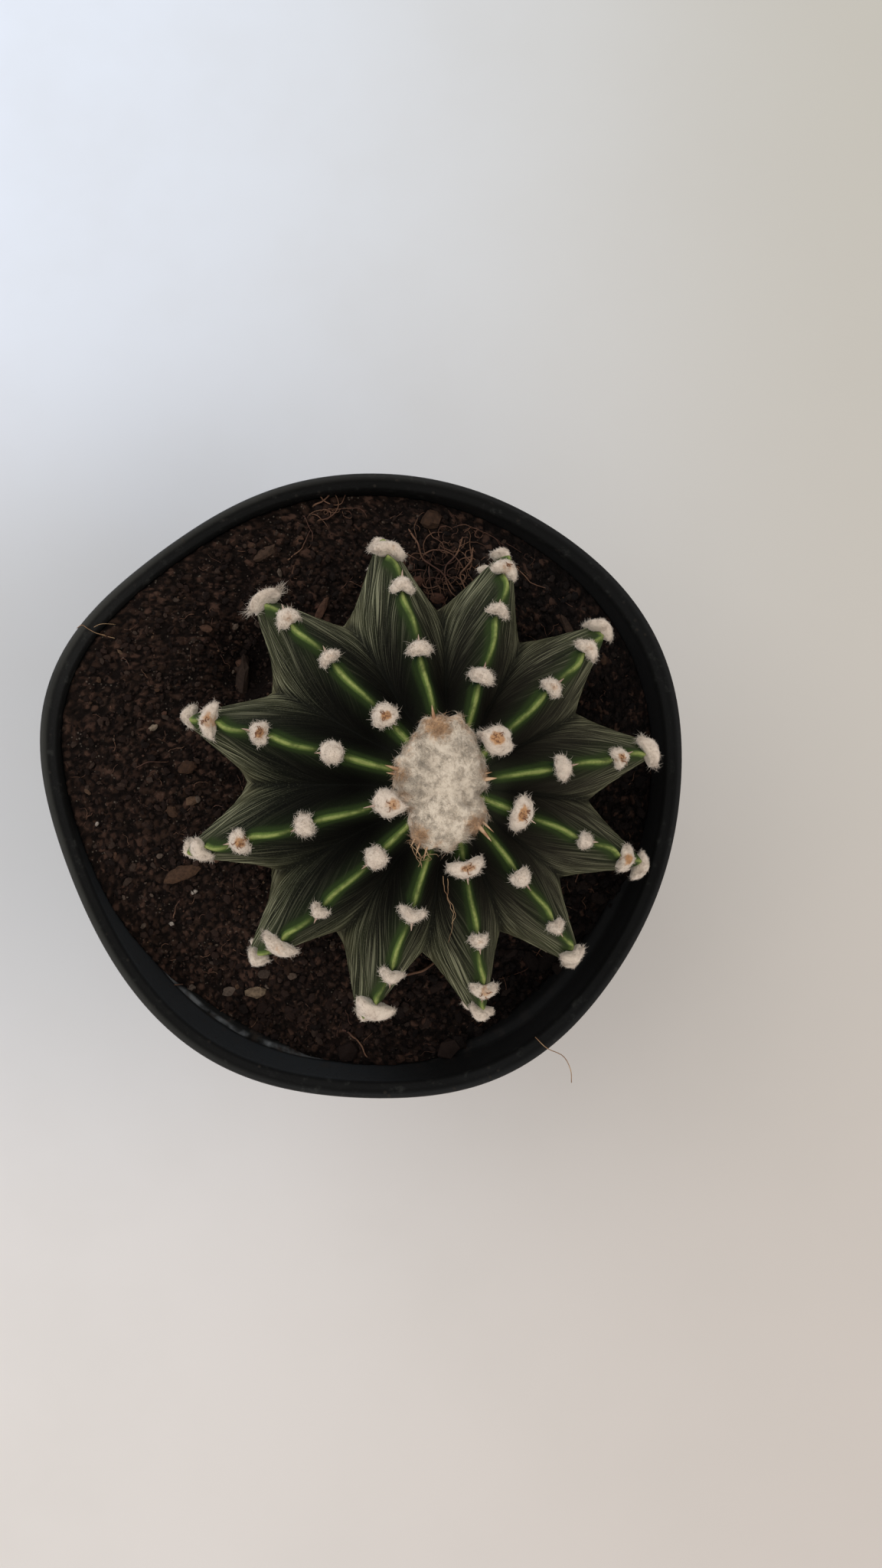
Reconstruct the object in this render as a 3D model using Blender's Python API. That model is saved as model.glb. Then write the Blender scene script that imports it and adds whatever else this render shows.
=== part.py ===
"""A chin cactus in a soft black nursery pot, seen in the photograph from straight above.

Four solids: the pot, the soil that fills it, the twelve-ribbed cactus with its woolly areoles
and short spines, and the pad of wool that covers its growing point. Metres, +Z up. The origin
is at the middle of the pot's footprint, on the surface that it stands on, and +Y is towards the
top of the photograph.
"""

import math
import random

import bmesh
import bpy
from mathutils import Matrix, Vector, noise

MM = 0.001
TOUCH_GAP = 0.3 * MM

# Pot: a 12 cm nursery pot of thin black plastic, pressed a little out of round by handling.
POT_HEIGHT = 95 * MM
LIP_RADIUS = 60 * MM
BASE_RADIUS = 43 * MM
WALL = 0.9 * MM
FLOOR = 1.2 * MM
POT_SIDES = 48
LIP_HEIGHT = 2.8 * MM
LIP_WIDTH = 2.4 * MM
COLLAR_DEPTH = 13 * MM
LEDGE_WIDTH = 1.8 * MM
FOOT_RECESS = 2 * MM
FOOT_INNER_RADIUS = 29 * MM
DRAIN_RADIUS = 3.5 * MM
DRAIN_RING_RADIUS = 19 * MM
DRAIN_COUNT = 6
# The rim's uneven round: how many lobes, their share of the radius, and the angle that turns them.
RIM_LOBES = ((2, 0.009, -9), (3, 0.021, 120), (4, 0.004, -93), (5, 0.014, 97), (6, 0.005, -79))
RIM_SHIFT = Vector((1.0 * MM, 0.4 * MM))

# Soil: dark bark and loam, heaped to the upper left and shrunk from the wall at the lower side.
SOIL_DROP = 7.5 * MM
SOIL_SLOPE = 0.085
SOIL_SLOPE_TOWARDS = math.radians(-38)
SOIL_ROUGHNESS = 1.3 * MM
# Hollows in the surface: x, y, depth and spread.
SOIL_HOLLOWS = (
    (-27 * MM, -47 * MM, 6.5 * MM, 11 * MM),
    (36 * MM, -40 * MM, 7 * MM, 15 * MM),
    (-21 * MM, 22 * MM, 4.5 * MM, 6 * MM),
)
TERRAIN_RINGS = 12
TERRAIN_RADIUS = 66 * MM
CHIP_COUNT = 34

# Cactus: a flattened body that leans to the right, with twelve sharp ribs.
RIB_AZIMUTHS = (8, 41, 71, 101, 133, 165, 196, 225, 255, 283, 310, 339)
# Angle from the growing point to each rib's first areole; the rest follow a step apart.
FIRST_AREOLES = (28, 15, 26, 32, 21, 27, 14, 23, 31, 19, 28, 18)
AREOLE_STEP = 20
CREST_RADIUS = 42.5 * MM
SHOULDER_HEIGHT = 22 * MM
SKIRT_HEIGHT = 27 * MM
LEAN = math.radians(11)
LEAN_TOWARDS = math.radians(-8)
GROWING_POINT = Vector((16.5 * MM, 0.2 * MM, 128 * MM))
FURROW_SHARE = 0.28
CHIN_RISE = 0.03
CHIN_SWAY_DEGREES = 1.1
BODY_END = 138
BODY_RINGS = 25
# Places of the skin's points across half a rib, from the furrow (1) to the crest (0).
HALF_RIB = (1.0, 0.5, 0.15)
# Root: radius and height below the widest ring, the last at the tip.
ROOT_PROFILE = ((27 * MM, -24 * MM), (16 * MM, -37 * MM), (0.0, -52 * MM))

# Areoles: pads of pale wool on the crests, the young ones with one short spine.
TUFT_WIDTH = 4.9 * MM
TUFT_LENGTH = 3.8 * MM
TUFT_HEIGHT = 2.3 * MM
TUFT_SIDES = 7
TUFT_CLEARANCE = 4.5 * MM
SPINE_LENGTH = 3.6 * MM
SPINE_RADIUS = 0.45 * MM
LAST_SPINE_ANGLE = 62

# Crown: the felt of young wool over the growing point, longer than it is wide.
CROWN_HALF_WIDTH = 7.6 * MM
CROWN_HALF_LENGTH = 11 * MM
CROWN_HEIGHT = 4.6 * MM
CROWN_SIDES = 28
CROWN_RINGS = 5
CROWN_SPINE_AZIMUTHS = (3, 98, 172, 255, 300)


def smooth_step(value, low, high):
    """0 below low, 1 above high, and an eased rise between."""
    share = min(1.0, max(0.0, (value - low) / (high - low)))
    return share * share * (3 - 2 * share)


def clear_scene():
    for obj in list(bpy.data.objects):
        bpy.data.objects.remove(obj)


def material(name, colour, roughness):
    made = bpy.data.materials.new(name)
    made.use_nodes = True
    shader = made.node_tree.nodes["Principled BSDF"]
    shader.inputs["Base Color"].default_value = (*colour, 1.0)
    shader.inputs["Roughness"].default_value = roughness
    shader.inputs["Metallic"].default_value = 0.0
    return made


def add_object(name, points, faces, finish=None, matrix=None):
    """A mesh object in world space from points and faces, with flat faces that all point outwards."""
    mesh = bpy.data.meshes.new(name)
    mesh.from_pydata(points, [], faces)
    work = bmesh.new()
    work.from_mesh(mesh)
    bmesh.ops.recalc_face_normals(work, faces=work.faces)
    bmesh.ops.triangulate(work, faces=work.faces)
    work.to_mesh(mesh)
    work.free()
    if matrix is not None:
        mesh.transform(matrix)
    obj = bpy.data.objects.new(name, mesh)
    bpy.context.scene.collection.objects.link(obj)
    if finish is not None:
        mesh.materials.append(finish)
    return obj


def ring_stack(first_pole, rings, last_pole):
    """Points and faces of a closed skin: one pole, rings of equal length, and another pole."""
    sides = len(rings[0])
    points = [first_pole, *(point for ring in rings for point in ring), last_pole]
    faces = []
    for k in range(sides):
        after = (k + 1) % sides
        faces.append((0, 1 + after, 1 + k))
        for level in range(len(rings) - 1):
            start = 1 + level * sides
            faces.append((start + k, start + after, start + sides + after, start + sides + k))
        start = 1 + (len(rings) - 1) * sides
        faces.append((start + k, start + after, len(points) - 1))
    return points, faces


def boolean(obj, operation, other):
    """Adds an exact Boolean with another object, or with each object of a collection."""
    modifier = obj.modifiers.new(operation.title(), "BOOLEAN")
    modifier.operation = operation
    modifier.solver = "EXACT"
    if isinstance(other, bpy.types.Collection):
        modifier.operand_type = "COLLECTION"
        modifier.collection = other
    else:
        modifier.object = other
    return modifier


def apply_modifiers(obj):
    """Bakes the object's modifiers into its mesh."""
    graph = bpy.context.evaluated_depsgraph_get()
    finish = list(obj.data.materials)
    mesh = bpy.data.meshes.new_from_object(obj.evaluated_get(graph))
    obj.modifiers.clear()
    obj.data = mesh
    mesh.materials.clear()
    for each in finish:
        mesh.materials.append(each)


def shade_round(obj, sharp_degrees):
    obj.data.shade_smooth()
    obj.data.set_sharp_from_angle(angle=math.radians(sharp_degrees))


def drop_crumbs(obj):
    """Keeps the largest body of the mesh, without the tiny pockets that a union can leave in it."""
    work = bmesh.new()
    work.from_mesh(obj.data)
    left = set(work.faces)
    bodies = []
    while left:
        body = set()
        edge = {left.pop()}
        while edge:
            body |= edge
            edge = {near for face in edge for line in face.edges for near in line.link_faces} - body
        left -= body
        bodies.append(body)
    bodies.sort(key=len)
    crumbs = {vert for body in bodies[:-1] for face in body for vert in face.verts}
    bmesh.ops.delete(work, geom=list(crumbs), context="VERTS")
    work.to_mesh(obj.data)
    work.free()


def fuse(obj, pieces):
    """Joins pieces into the object with one Boolean union, then removes them."""
    group = bpy.data.collections.new("fused_pieces")
    bpy.context.scene.collection.children.link(group)
    for piece in pieces:
        bpy.context.scene.collection.objects.unlink(piece)
        group.objects.link(piece)
    boolean(obj, "UNION", group)
    apply_modifiers(obj)
    drop_crumbs(obj)
    for piece in pieces:
        bpy.data.objects.remove(piece)
    bpy.data.collections.remove(group)


# Pot

def pot_point(radius, angle, height):
    """A point at that radius of the true round pot, moved as the squeezed rim moves it."""
    share = height / POT_HEIGHT
    lobes = sum(size * math.cos(count * angle - math.radians(turn)) for count, size, turn in RIM_LOBES)
    reach = radius * (1 + share * lobes)
    shift = RIM_SHIFT * share
    return Vector((shift.x + reach * math.cos(angle), shift.y + reach * math.sin(angle), height))


def pot_ring(radius, height):
    return [pot_point(radius, math.tau * k / POT_SIDES, height) for k in range(POT_SIDES)]


def inner_wall():
    """Radius and height of the pot's inside, from the lip down to the floor."""
    collar_top = LIP_RADIUS - LIP_WIDTH
    collar_foot = collar_top - 1.0 * MM
    ledge = POT_HEIGHT - COLLAR_DEPTH
    below_ledge = collar_foot - LEDGE_WIDTH
    floor_top = FOOT_RECESS + FLOOR
    floor_radius = BASE_RADIUS - WALL
    middle = 0.5 * (ledge + floor_top)
    return (
        (collar_top, POT_HEIGHT - 0.8 * MM),
        (collar_foot, ledge),
        (below_ledge, ledge - 1.4 * MM),
        (0.5 * (below_ledge + floor_radius), middle),
        (floor_radius, floor_top + 0.6 * MM),
    )


def outer_wall():
    """Radius and height of the pot's outside, from the foot up to the lip's inner edge."""
    collar_top, collar_foot, below_ledge, middle, _ = inner_wall()
    return (
        (FOOT_INNER_RADIUS, FOOT_RECESS),
        (FOOT_INNER_RADIUS + 1.5 * MM, 0.0),
        (BASE_RADIUS - 2 * MM, 0.0),
        (BASE_RADIUS, 2 * MM),
        (middle[0] + WALL, middle[1]),
        (below_ledge[0] + WALL, below_ledge[1] - 0.6 * MM),
        (collar_foot[0] + WALL, collar_foot[1] - 0.6 * MM),
        (collar_top[0] + WALL, POT_HEIGHT - LIP_HEIGHT - 0.5 * MM),
        (LIP_RADIUS, POT_HEIGHT - LIP_HEIGHT),
        (LIP_RADIUS, POT_HEIGHT - 0.8 * MM),
        (LIP_RADIUS - 0.6 * MM, POT_HEIGHT),
        (LIP_RADIUS - LIP_WIDTH + 0.6 * MM, POT_HEIGHT),
    )


def drain_cutter(x, y):
    """A plain round cutter that runs through the pot's floor."""
    work = bmesh.new()
    bmesh.ops.create_cone(
        work,
        cap_ends=True,
        segments=16,
        radius1=DRAIN_RADIUS,
        radius2=DRAIN_RADIUS,
        depth=8 * MM,
        matrix=Matrix.Translation((x, y, FOOT_RECESS)),
    )
    mesh = bpy.data.meshes.new("drain_cutter")
    work.to_mesh(mesh)
    work.free()
    cutter = bpy.data.objects.new("drain_cutter", mesh)
    bpy.context.scene.collection.objects.link(cutter)
    return cutter


def make_pot():
    rings = [pot_ring(radius, height) for radius, height in (*outer_wall(), *inner_wall())]
    underside = Vector((0, 0, FOOT_RECESS))
    floor = Vector((0, 0, FOOT_RECESS + FLOOR))
    points, faces = ring_stack(underside, rings, floor)
    pot = add_object("pot", points, faces, material("black_plastic", (0.018, 0.018, 0.019), 0.42))
    cutters = [drain_cutter(0, 0)]
    for k in range(DRAIN_COUNT):
        angle = math.tau * k / DRAIN_COUNT
        cutters.append(
            drain_cutter(DRAIN_RING_RADIUS * math.cos(angle), DRAIN_RING_RADIUS * math.sin(angle))
        )
    for cutter in cutters:
        boolean(pot, "DIFFERENCE", cutter)
    apply_modifiers(pot)
    for cutter in cutters:
        bpy.data.objects.remove(cutter)
    shade_round(pot, 35)


# Cactus skin

def plant_frame():
    """Matrix from the plant's own frame, with its origin at the middle of its widest ring, to the world."""
    across = Vector((-math.sin(LEAN_TOWARDS), math.cos(LEAN_TOWARDS), 0))
    turn = Matrix.Rotation(LEAN, 4, across)
    top = turn @ Vector((0, 0, SHOULDER_HEIGHT))
    return Matrix.Translation(GROWING_POINT - top) @ turn


def rib_profile(share):
    """How much of the crest's height the skin keeps at that share of the way to the furrow."""
    eased = (math.sqrt(share * share + 0.005) - math.sqrt(0.005)) / (math.sqrt(1.005) - math.sqrt(0.005))
    left = 1 - eased
    return 0.5 * left + 0.5 * left**2.2


def chin(rib, polar):
    """The bulge below each areole, from 0 at an areole to 1 at the middle of the chin."""
    steps = (polar - FIRST_AREOLES[rib]) / AREOLE_STEP
    place = (steps - math.floor(steps)) ** 0.85
    fade = smooth_step(polar, 6, 20) * (1 - smooth_step(polar, 100, 130))
    return fade * math.sin(math.pi * place) ** 2


def crest_azimuth(rib, polar):
    """The crest's direction, which sways a little from areole to areole."""
    steps = (polar - FIRST_AREOLES[rib]) / AREOLE_STEP
    sway = CHIN_SWAY_DEGREES * math.sin(math.tau * steps + rib) * smooth_step(polar, 10, 30)
    return math.radians(RIB_AZIMUTHS[rib] + sway)


def furrow_azimuth(rib):
    """The direction of the furrow that follows a rib."""
    here = RIB_AZIMUTHS[rib]
    following = RIB_AZIMUTHS[(rib + 1) % len(RIB_AZIMUTHS)]
    return math.radians(here + ((following - here) % 360) / 2)


def skin_point(rib, side, share, polar, grow=0.0):
    """A point of the skin in the plant's frame. side is -1 or 1, share runs from the crest to the furrow."""
    azimuth = crest_azimuth(rib, polar)
    furrow = furrow_azimuth(rib) if side > 0 else furrow_azimuth(rib - 1)
    to_furrow = (furrow - azimuth + math.pi) % math.tau - math.pi
    azimuth += share * to_furrow
    keep = rib_profile(share)
    depth = FURROW_SHARE * smooth_step(polar, 7, 30) * (1 - 0.75 * smooth_step(polar, 95, BODY_END))
    scale = (1 + CHIN_RISE * chin(rib, polar) * keep**1.5) * (1 - depth * (1 - keep))
    angle = math.radians(polar)
    height = (SHOULDER_HEIGHT if polar < 90 else SKIRT_HEIGHT) + grow
    radius = scale * (CREST_RADIUS + grow) * math.sin(angle)
    return Vector((radius * math.cos(azimuth), radius * math.sin(azimuth), scale * height * math.cos(angle)))


def skin_ring(polar, grow=0.0):
    """One turn of the skin: each rib from its first furrow over its crest."""
    ring = []
    for rib in range(len(RIB_AZIMUTHS)):
        ring += [skin_point(rib, -1, share, polar, grow) for share in HALF_RIB]
        ring.append(skin_point(rib, 1, 0.0, polar, grow))
        ring += [skin_point(rib, 1, share, polar, grow) for share in reversed(HALF_RIB[1:])]
    return ring


def round_ring(ring, radius, height):
    """A round ring whose points keep the directions of another ring."""
    directions = [Vector((point.x, point.y)).normalized() for point in ring]
    return [Vector((radius * way.x, radius * way.y, height)) for way in directions]


def skin(grow=0.0):
    """Points and faces of the closed body with its root."""
    rings = [skin_ring(BODY_END * k / BODY_RINGS, grow) for k in range(1, BODY_RINGS + 1)]
    for radius, height in ROOT_PROFILE[:-1]:
        rings.append(round_ring(rings[-1], radius, height))
    top = Vector((0, 0, SHOULDER_HEIGHT + grow))
    return ring_stack(top, rings, Vector((0, 0, ROOT_PROFILE[-1][1])))


# Areoles

def crest_frame(rib, polar):
    """Matrix at a point of a crest: X across the rib, Y outwards along the crest, Z off the skin."""
    angle = math.radians(polar)
    azimuth = crest_azimuth(rib, polar)
    height = SHOULDER_HEIGHT if polar < 90 else SKIRT_HEIGHT
    outward = Vector((math.cos(azimuth), math.sin(azimuth), 0))
    along = outward * CREST_RADIUS * math.cos(angle) - Vector((0, 0, height * math.sin(angle)))
    along.normalize()
    across = Vector((outward.y, -outward.x, 0))
    off = across.cross(along)
    frame = Matrix((across, along, off)).transposed().to_4x4()
    frame.translation = skin_point(rib, 1, 0.0, polar)
    return frame


def tuft_shape(width, length, height, draw):
    """A ragged pad of wool with its root in the crest: two rings of uneven locks under a low top."""
    rings = []
    steps = ((0.55, -2.8 * MM, 0.0), (1.0, 0.2 * height, 0.13), (0.7, 0.75 * height, 0.17))
    for share, level, lock in steps:
        ring = []
        for k in range(TUFT_SIDES):
            turn = math.tau * (k + 0.5 * (share < 1)) / TUFT_SIDES
            reach = share * (1 + draw.uniform(-lock, lock))
            across = 0.5 * width * reach * math.cos(turn)
            along = 0.5 * length * reach * math.sin(turn)
            ring.append(Vector((across, along, level * draw.uniform(0.85, 1.15))))
        rings.append(ring)
    return ring_stack(Vector((0, 0, -3.2 * MM)), rings, Vector((0, 0, height)))


def spine_shape(length, radius):
    """A three-sided spine that points along +Y, lifts off the skin a little, and starts inside its pad."""
    base = [
        Vector((radius * math.cos(turn), -0.6 * MM, 1.2 * MM + radius * math.sin(turn)))
        for turn in (math.radians(90), math.radians(210), math.radians(330))
    ]
    tip = Vector((0, length, 2.1 * MM))
    return [*base, tip], [(0, 1, 2), (0, 1, 3), (1, 2, 3), (2, 0, 3)]


def areoles():
    """Rib and polar angle of each areole that stands clear of the soil."""
    world = plant_frame()
    for rib, first in enumerate(FIRST_AREOLES):
        polar = first
        while polar < 124:
            place = world @ skin_point(rib, 1, 0.0, polar)
            if place.z > soil_height(place.x, place.y) + TUFT_CLEARANCE:
                yield rib, polar
            polar += AREOLE_STEP


def tuft_size(polar, draw):
    """Pads swell as the crest turns over, and shrink on the old skin below."""
    swell = 1 + 0.22 * math.exp(-(((polar - 80) / 22) ** 2)) + 0.25 * math.exp(-(((polar - 14) / 8) ** 2))
    swell *= 1 - 0.25 * smooth_step(polar, 90, 120)
    swell *= draw.uniform(0.88, 1.1)
    return TUFT_WIDTH * swell, TUFT_LENGTH * swell, TUFT_HEIGHT * swell


def make_cactus():
    world = plant_frame()
    points, faces = skin()
    cactus = add_object("cactus", points, faces, material("cactus_skin", (0.035, 0.06, 0.02), 0.55), world)
    draw = random.Random(12)
    pieces = []
    for rib, polar in areoles():
        place = world @ crest_frame(rib, polar)
        width, length, height = tuft_size(polar, draw)
        points, faces = tuft_shape(width, length, height, draw)
        pieces.append(add_object("tuft", points, faces, None, place))
        if polar < LAST_SPINE_ANGLE:
            turn = Matrix.Rotation(math.radians(draw.uniform(-18, 18)), 4, "Z")
            points, faces = spine_shape(draw.uniform(0.85, 1.1) * SPINE_LENGTH, SPINE_RADIUS)
            pieces.append(add_object("spine", points, faces, None, place @ turn))
    fuse(cactus, pieces)
    shade_round(cactus, 40)


# Crown wool

def crown_reach(azimuth):
    """Half the crown's width in that direction, with its locks of wool."""
    across = math.cos(azimuth) / CROWN_HALF_WIDTH
    along = math.sin(azimuth) / CROWN_HALF_LENGTH
    locks = 0.06 * math.cos(5 * azimuth + 0.7) + 0.05 * math.cos(9 * azimuth + 2.0)
    return (1 + locks) / math.hypot(across, along)


def crown_shape():
    """A lumpy cap of felt whose edge reaches down into the skin, for the cut below."""
    draw = random.Random(3)
    rings = []
    shares = [1.0] + [math.cos(0.5 * math.pi * k / CROWN_RINGS) for k in range(CROWN_RINGS)]
    for level, share in enumerate(shares):
        ring = []
        for k in range(CROWN_SIDES):
            azimuth = math.tau * k / CROWN_SIDES
            lock = 1 + draw.uniform(-0.08, 0.08) * (level > 1)
            reach = share * lock * crown_reach(azimuth)
            skin_height = SHOULDER_HEIGHT * math.sqrt(1 - (reach / CREST_RADIUS) ** 2)
            x, y = reach * math.cos(azimuth), reach * math.sin(azimuth)
            lump = noise.noise(Vector((260 * x, 260 * y, 3.1)))
            loft = CROWN_HEIGHT * math.sqrt(1 - share * share) * (1 + 0.3 * lump)
            base = -2.5 * MM if level == 0 else 1.2 * MM
            ring.append(Vector((x, y, skin_height + base + loft)))
        rings.append(ring)
    bottom = Vector((0, 0, SHOULDER_HEIGHT - 3 * MM))
    return ring_stack(bottom, rings, Vector((0, 0, SHOULDER_HEIGHT + CROWN_HEIGHT)))


def crown_spine_frame(azimuth):
    """Where a young spine comes out of the crown's edge, just above the skin."""
    reach = crown_reach(azimuth) - 1.2 * MM
    outward = Vector((math.cos(azimuth), math.sin(azimuth), 0))
    height = SHOULDER_HEIGHT * math.sqrt(1 - (reach / CREST_RADIUS) ** 2)
    across = Vector((outward.y, -outward.x, 0))
    frame = Matrix((across, outward, Vector((0, 0, 1)))).transposed().to_4x4()
    frame.translation = outward * reach + Vector((0, 0, height + 0.2 * MM))
    return frame


def make_crown_wool():
    """The pad is cut underneath by a slightly larger copy of the skin."""
    world = plant_frame()
    points, faces = crown_shape()
    crown = add_object("crown_wool", points, faces, material("crown_wool", (0.5, 0.43, 0.34), 0.95), world)
    spines = []
    for azimuth in map(math.radians, CROWN_SPINE_AZIMUTHS):
        points, faces = spine_shape(0.9 * SPINE_LENGTH, SPINE_RADIUS)
        spines.append(add_object("spine", points, faces, None, world @ crown_spine_frame(azimuth)))
    fuse(crown, spines)
    cutter = add_object("skin_cutter", *skin(0.45 * MM), None, world)
    boolean(crown, "DIFFERENCE", cutter)
    apply_modifiers(crown)
    bpy.data.objects.remove(cutter)
    shade_round(crown, 50)


# Soil

def soil_height(x, y):
    """Height of the soil's surface before its grit."""
    drop = SOIL_DROP + SOIL_SLOPE * (
        x * math.cos(SOIL_SLOPE_TOWARDS) + y * math.sin(SOIL_SLOPE_TOWARDS)
    )
    for hollow_x, hollow_y, depth, spread in SOIL_HOLLOWS:
        drop += depth * math.exp(-((x - hollow_x) ** 2 + (y - hollow_y) ** 2) / (2 * spread**2))
    return POT_HEIGHT - drop


def soil_surface(x, y):
    """The surface with its clods."""
    coarse = noise.noise(Vector((90 * x, 90 * y, 1.7)))
    fine = noise.noise(Vector((260 * x, 260 * y, 5.2)))
    return soil_height(x, y) + SOIL_ROUGHNESS * (0.65 * coarse + 0.55 * fine)


def pot_filling():
    """The room inside the pot, short of its walls by the gap, up to the lip."""
    top, collar_foot, below_ledge, middle, floor = inner_wall()
    inset = (
        (floor[0] - TOUCH_GAP, floor[1] + TOUCH_GAP),
        (middle[0] - TOUCH_GAP, middle[1]),
        (below_ledge[0] - TOUCH_GAP, below_ledge[1] + 0.2 * MM),
        (collar_foot[0] - TOUCH_GAP, collar_foot[1] + 0.2 * MM),
        (top[0] - TOUCH_GAP, top[1]),
    )
    rings = [pot_ring(radius, height) for radius, height in inset]
    return ring_stack(Vector((0, 0, inset[0][1])), rings, Vector((0, 0, inset[-1][1])))


def terrain():
    """A block whose top is the soil's surface and whose sides and foot lie outside the pot's room."""
    rings = []
    for foot in (-5 * MM, 30 * MM):
        rings.append([Vector((p.x, p.y, foot)) for p in terrain_ring(TERRAIN_RADIUS)])
    for level in range(TERRAIN_RINGS, 0, -1):
        radius = TERRAIN_RADIUS * level / TERRAIN_RINGS
        rings.append([Vector((p.x, p.y, soil_surface(p.x, p.y))) for p in terrain_ring(radius)])
    return ring_stack(Vector((0, 0, -5 * MM)), rings, Vector((0, 0, soil_surface(0, 0))))


def terrain_ring(radius):
    turns = [math.tau * (k + 0.5) / POT_SIDES for k in range(POT_SIDES)]
    return [Vector((radius * math.cos(turn), radius * math.sin(turn))) for turn in turns]


def plant_hole():
    """The plain round hole that the cactus stands in: its crests' envelope and its root, and the gap."""
    profile = []
    for polar in range(96, BODY_END + 1, 14):
        angle = math.radians(polar)
        scale = 1 + CHIN_RISE * (1 - smooth_step(polar, 100, 130))
        profile.append(
            (scale * CREST_RADIUS * math.sin(angle) + 2 * TOUCH_GAP, scale * SKIRT_HEIGHT * math.cos(angle))
        )
    profile += [(radius + 2 * TOUCH_GAP, height) for radius, height in ROOT_PROFILE[:-1]]
    sides = 30
    around = [Vector((math.cos(math.tau * k / sides), math.sin(math.tau * k / sides), 0)) for k in range(sides)]
    rings = [[radius * way + Vector((0, 0, height)) for way in around] for radius, height in profile]
    tip = Vector((0, 0, ROOT_PROFILE[-1][1] - 3 * TOUCH_GAP))
    return ring_stack(Vector((0, 0, profile[0][1])), rings, tip)


def chip(draw):
    """A flake of bark or a grain of stone, half sunk in the soil, away from the wall and the plant."""
    centre = plant_frame().translation
    while True:
        turn = draw.uniform(0, math.tau)
        radius = 52 * MM * math.sqrt(draw.random())
        place = pot_point(radius, turn, POT_HEIGHT)
        if math.hypot(place.x - centre.x, place.y - centre.y) > 35 * MM:
            break
    work = bmesh.new()
    bmesh.ops.create_icosphere(work, subdivisions=1, radius=1.0)
    size = Vector((draw.uniform(1.5, 3.8), draw.uniform(1.1, 2.2), draw.uniform(1.0, 1.6))) * MM
    for vert in work.verts:
        vert.co = Vector(tuple(c * s * draw.uniform(0.8, 1.15) for c, s in zip(vert.co, size)))
    mesh = bpy.data.meshes.new("chip")
    work.to_mesh(mesh)
    work.free()
    spin = Matrix.Rotation(draw.uniform(0, math.tau), 4, "Z")
    tilt = Matrix.Rotation(draw.uniform(-0.35, 0.35), 4, "X") @ spin
    height = soil_surface(place.x, place.y) + 0.25 * size.z
    mesh.transform(Matrix.Translation((place.x, place.y, height)) @ tilt)
    obj = bpy.data.objects.new("chip", mesh)
    bpy.context.scene.collection.objects.link(obj)
    return obj


def make_soil():
    points, faces = pot_filling()
    soil = add_object("soil", points, faces, material("soil", (0.02, 0.012, 0.009), 0.95))
    block = add_object("terrain", *terrain())
    boolean(soil, "INTERSECT", block)
    apply_modifiers(soil)
    bpy.data.objects.remove(block)
    draw = random.Random(5)
    fuse(soil, [chip(draw) for _ in range(CHIP_COUNT)])
    hole = add_object("plant_hole", *plant_hole(), None, plant_frame())
    boolean(soil, "DIFFERENCE", hole)
    apply_modifiers(soil)
    drop_crumbs(soil)
    bpy.data.objects.remove(hole)
    shade_round(soil, 40)


def main():
    clear_scene()
    make_pot()
    make_soil()
    make_cactus()
    make_crown_wool()


main()
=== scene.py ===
"""A chin cactus in a soft black nursery pot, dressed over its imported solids.

Metres, +Z up, but the sizes of the pot and the plant are in mm until add_piece turns them into
metres. The camera looks straight down, with the top of the picture towards +Y. The script follows
the object as it is put together: pot, soil, grit and bark, roots, skin of the cactus, areoles with
their wool and spines, crown wool, and loose fibres.
"""

import math

import bmesh
import bpy
import numpy as np
from mathutils import Matrix, Vector, noise


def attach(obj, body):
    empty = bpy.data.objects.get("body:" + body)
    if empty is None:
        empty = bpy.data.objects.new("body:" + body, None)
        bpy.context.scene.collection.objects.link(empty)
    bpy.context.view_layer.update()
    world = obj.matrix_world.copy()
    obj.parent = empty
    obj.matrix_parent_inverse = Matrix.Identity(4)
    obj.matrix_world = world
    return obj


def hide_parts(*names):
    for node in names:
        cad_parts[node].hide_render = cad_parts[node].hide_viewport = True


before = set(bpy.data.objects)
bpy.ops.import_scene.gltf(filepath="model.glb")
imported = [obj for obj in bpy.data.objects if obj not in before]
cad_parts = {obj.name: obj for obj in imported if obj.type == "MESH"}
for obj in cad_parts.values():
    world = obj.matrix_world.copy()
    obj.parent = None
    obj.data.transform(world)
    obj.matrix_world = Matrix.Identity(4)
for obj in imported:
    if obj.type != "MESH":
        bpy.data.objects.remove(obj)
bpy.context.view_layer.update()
scene = bpy.context.scene
MM = 0.001


# Camera
# A phone held about 32 cm above the floor, level, straight over the plant.
CAMERA_PLACE = Vector((15.27, 0.36, 319.4))
CAMERA_LENS = 27.07
camera_data = bpy.data.cameras.new("camera")
camera_data.lens = CAMERA_LENS
camera_data.sensor_width = 36
camera_data.clip_start = 0.01
camera = bpy.data.objects.new("camera", camera_data)
camera.location = CAMERA_PLACE * MM
scene.collection.objects.link(camera)
scene.camera = camera


# Floor and daylight
# The pot stands on a pale floor. Its colour is painted lighter and bluer at the upper left and darker
# and warmer at the right, as the daylight falls, with a painted shadow beside the pot at the left. One
# large soft source at the upper left is the daylight, a warmer and weaker one stands at the lower
# right, and an even glow fills the shadows.
class Flow:
    """The output of a shader node. Arithmetic on it adds Math nodes to the same finish."""

    def __init__(self, finish, socket):
        self.finish = finish
        self.socket = socket

    def maths(self, operation, first, second):
        return self.finish.node("Math", {"operation": operation}, {0: first, 1: second})

    def __add__(self, other):
        return self.maths("ADD", self, other)

    __radd__ = __add__

    def __sub__(self, other):
        return self.maths("SUBTRACT", self, other)

    def __rsub__(self, other):
        return self.maths("SUBTRACT", other, self)

    def __mul__(self, other):
        return self.maths("MULTIPLY", self, other)

    __rmul__ = __mul__

    def rise(self, low, high):
        """0 before low, 1 after high, and eased between; it falls where low is above high."""
        settings = {"interpolation_type": "SMOOTHSTEP"}
        return self.finish.node("MapRange", settings, {"Value": self, "From Min": low, "From Max": high})


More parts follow.
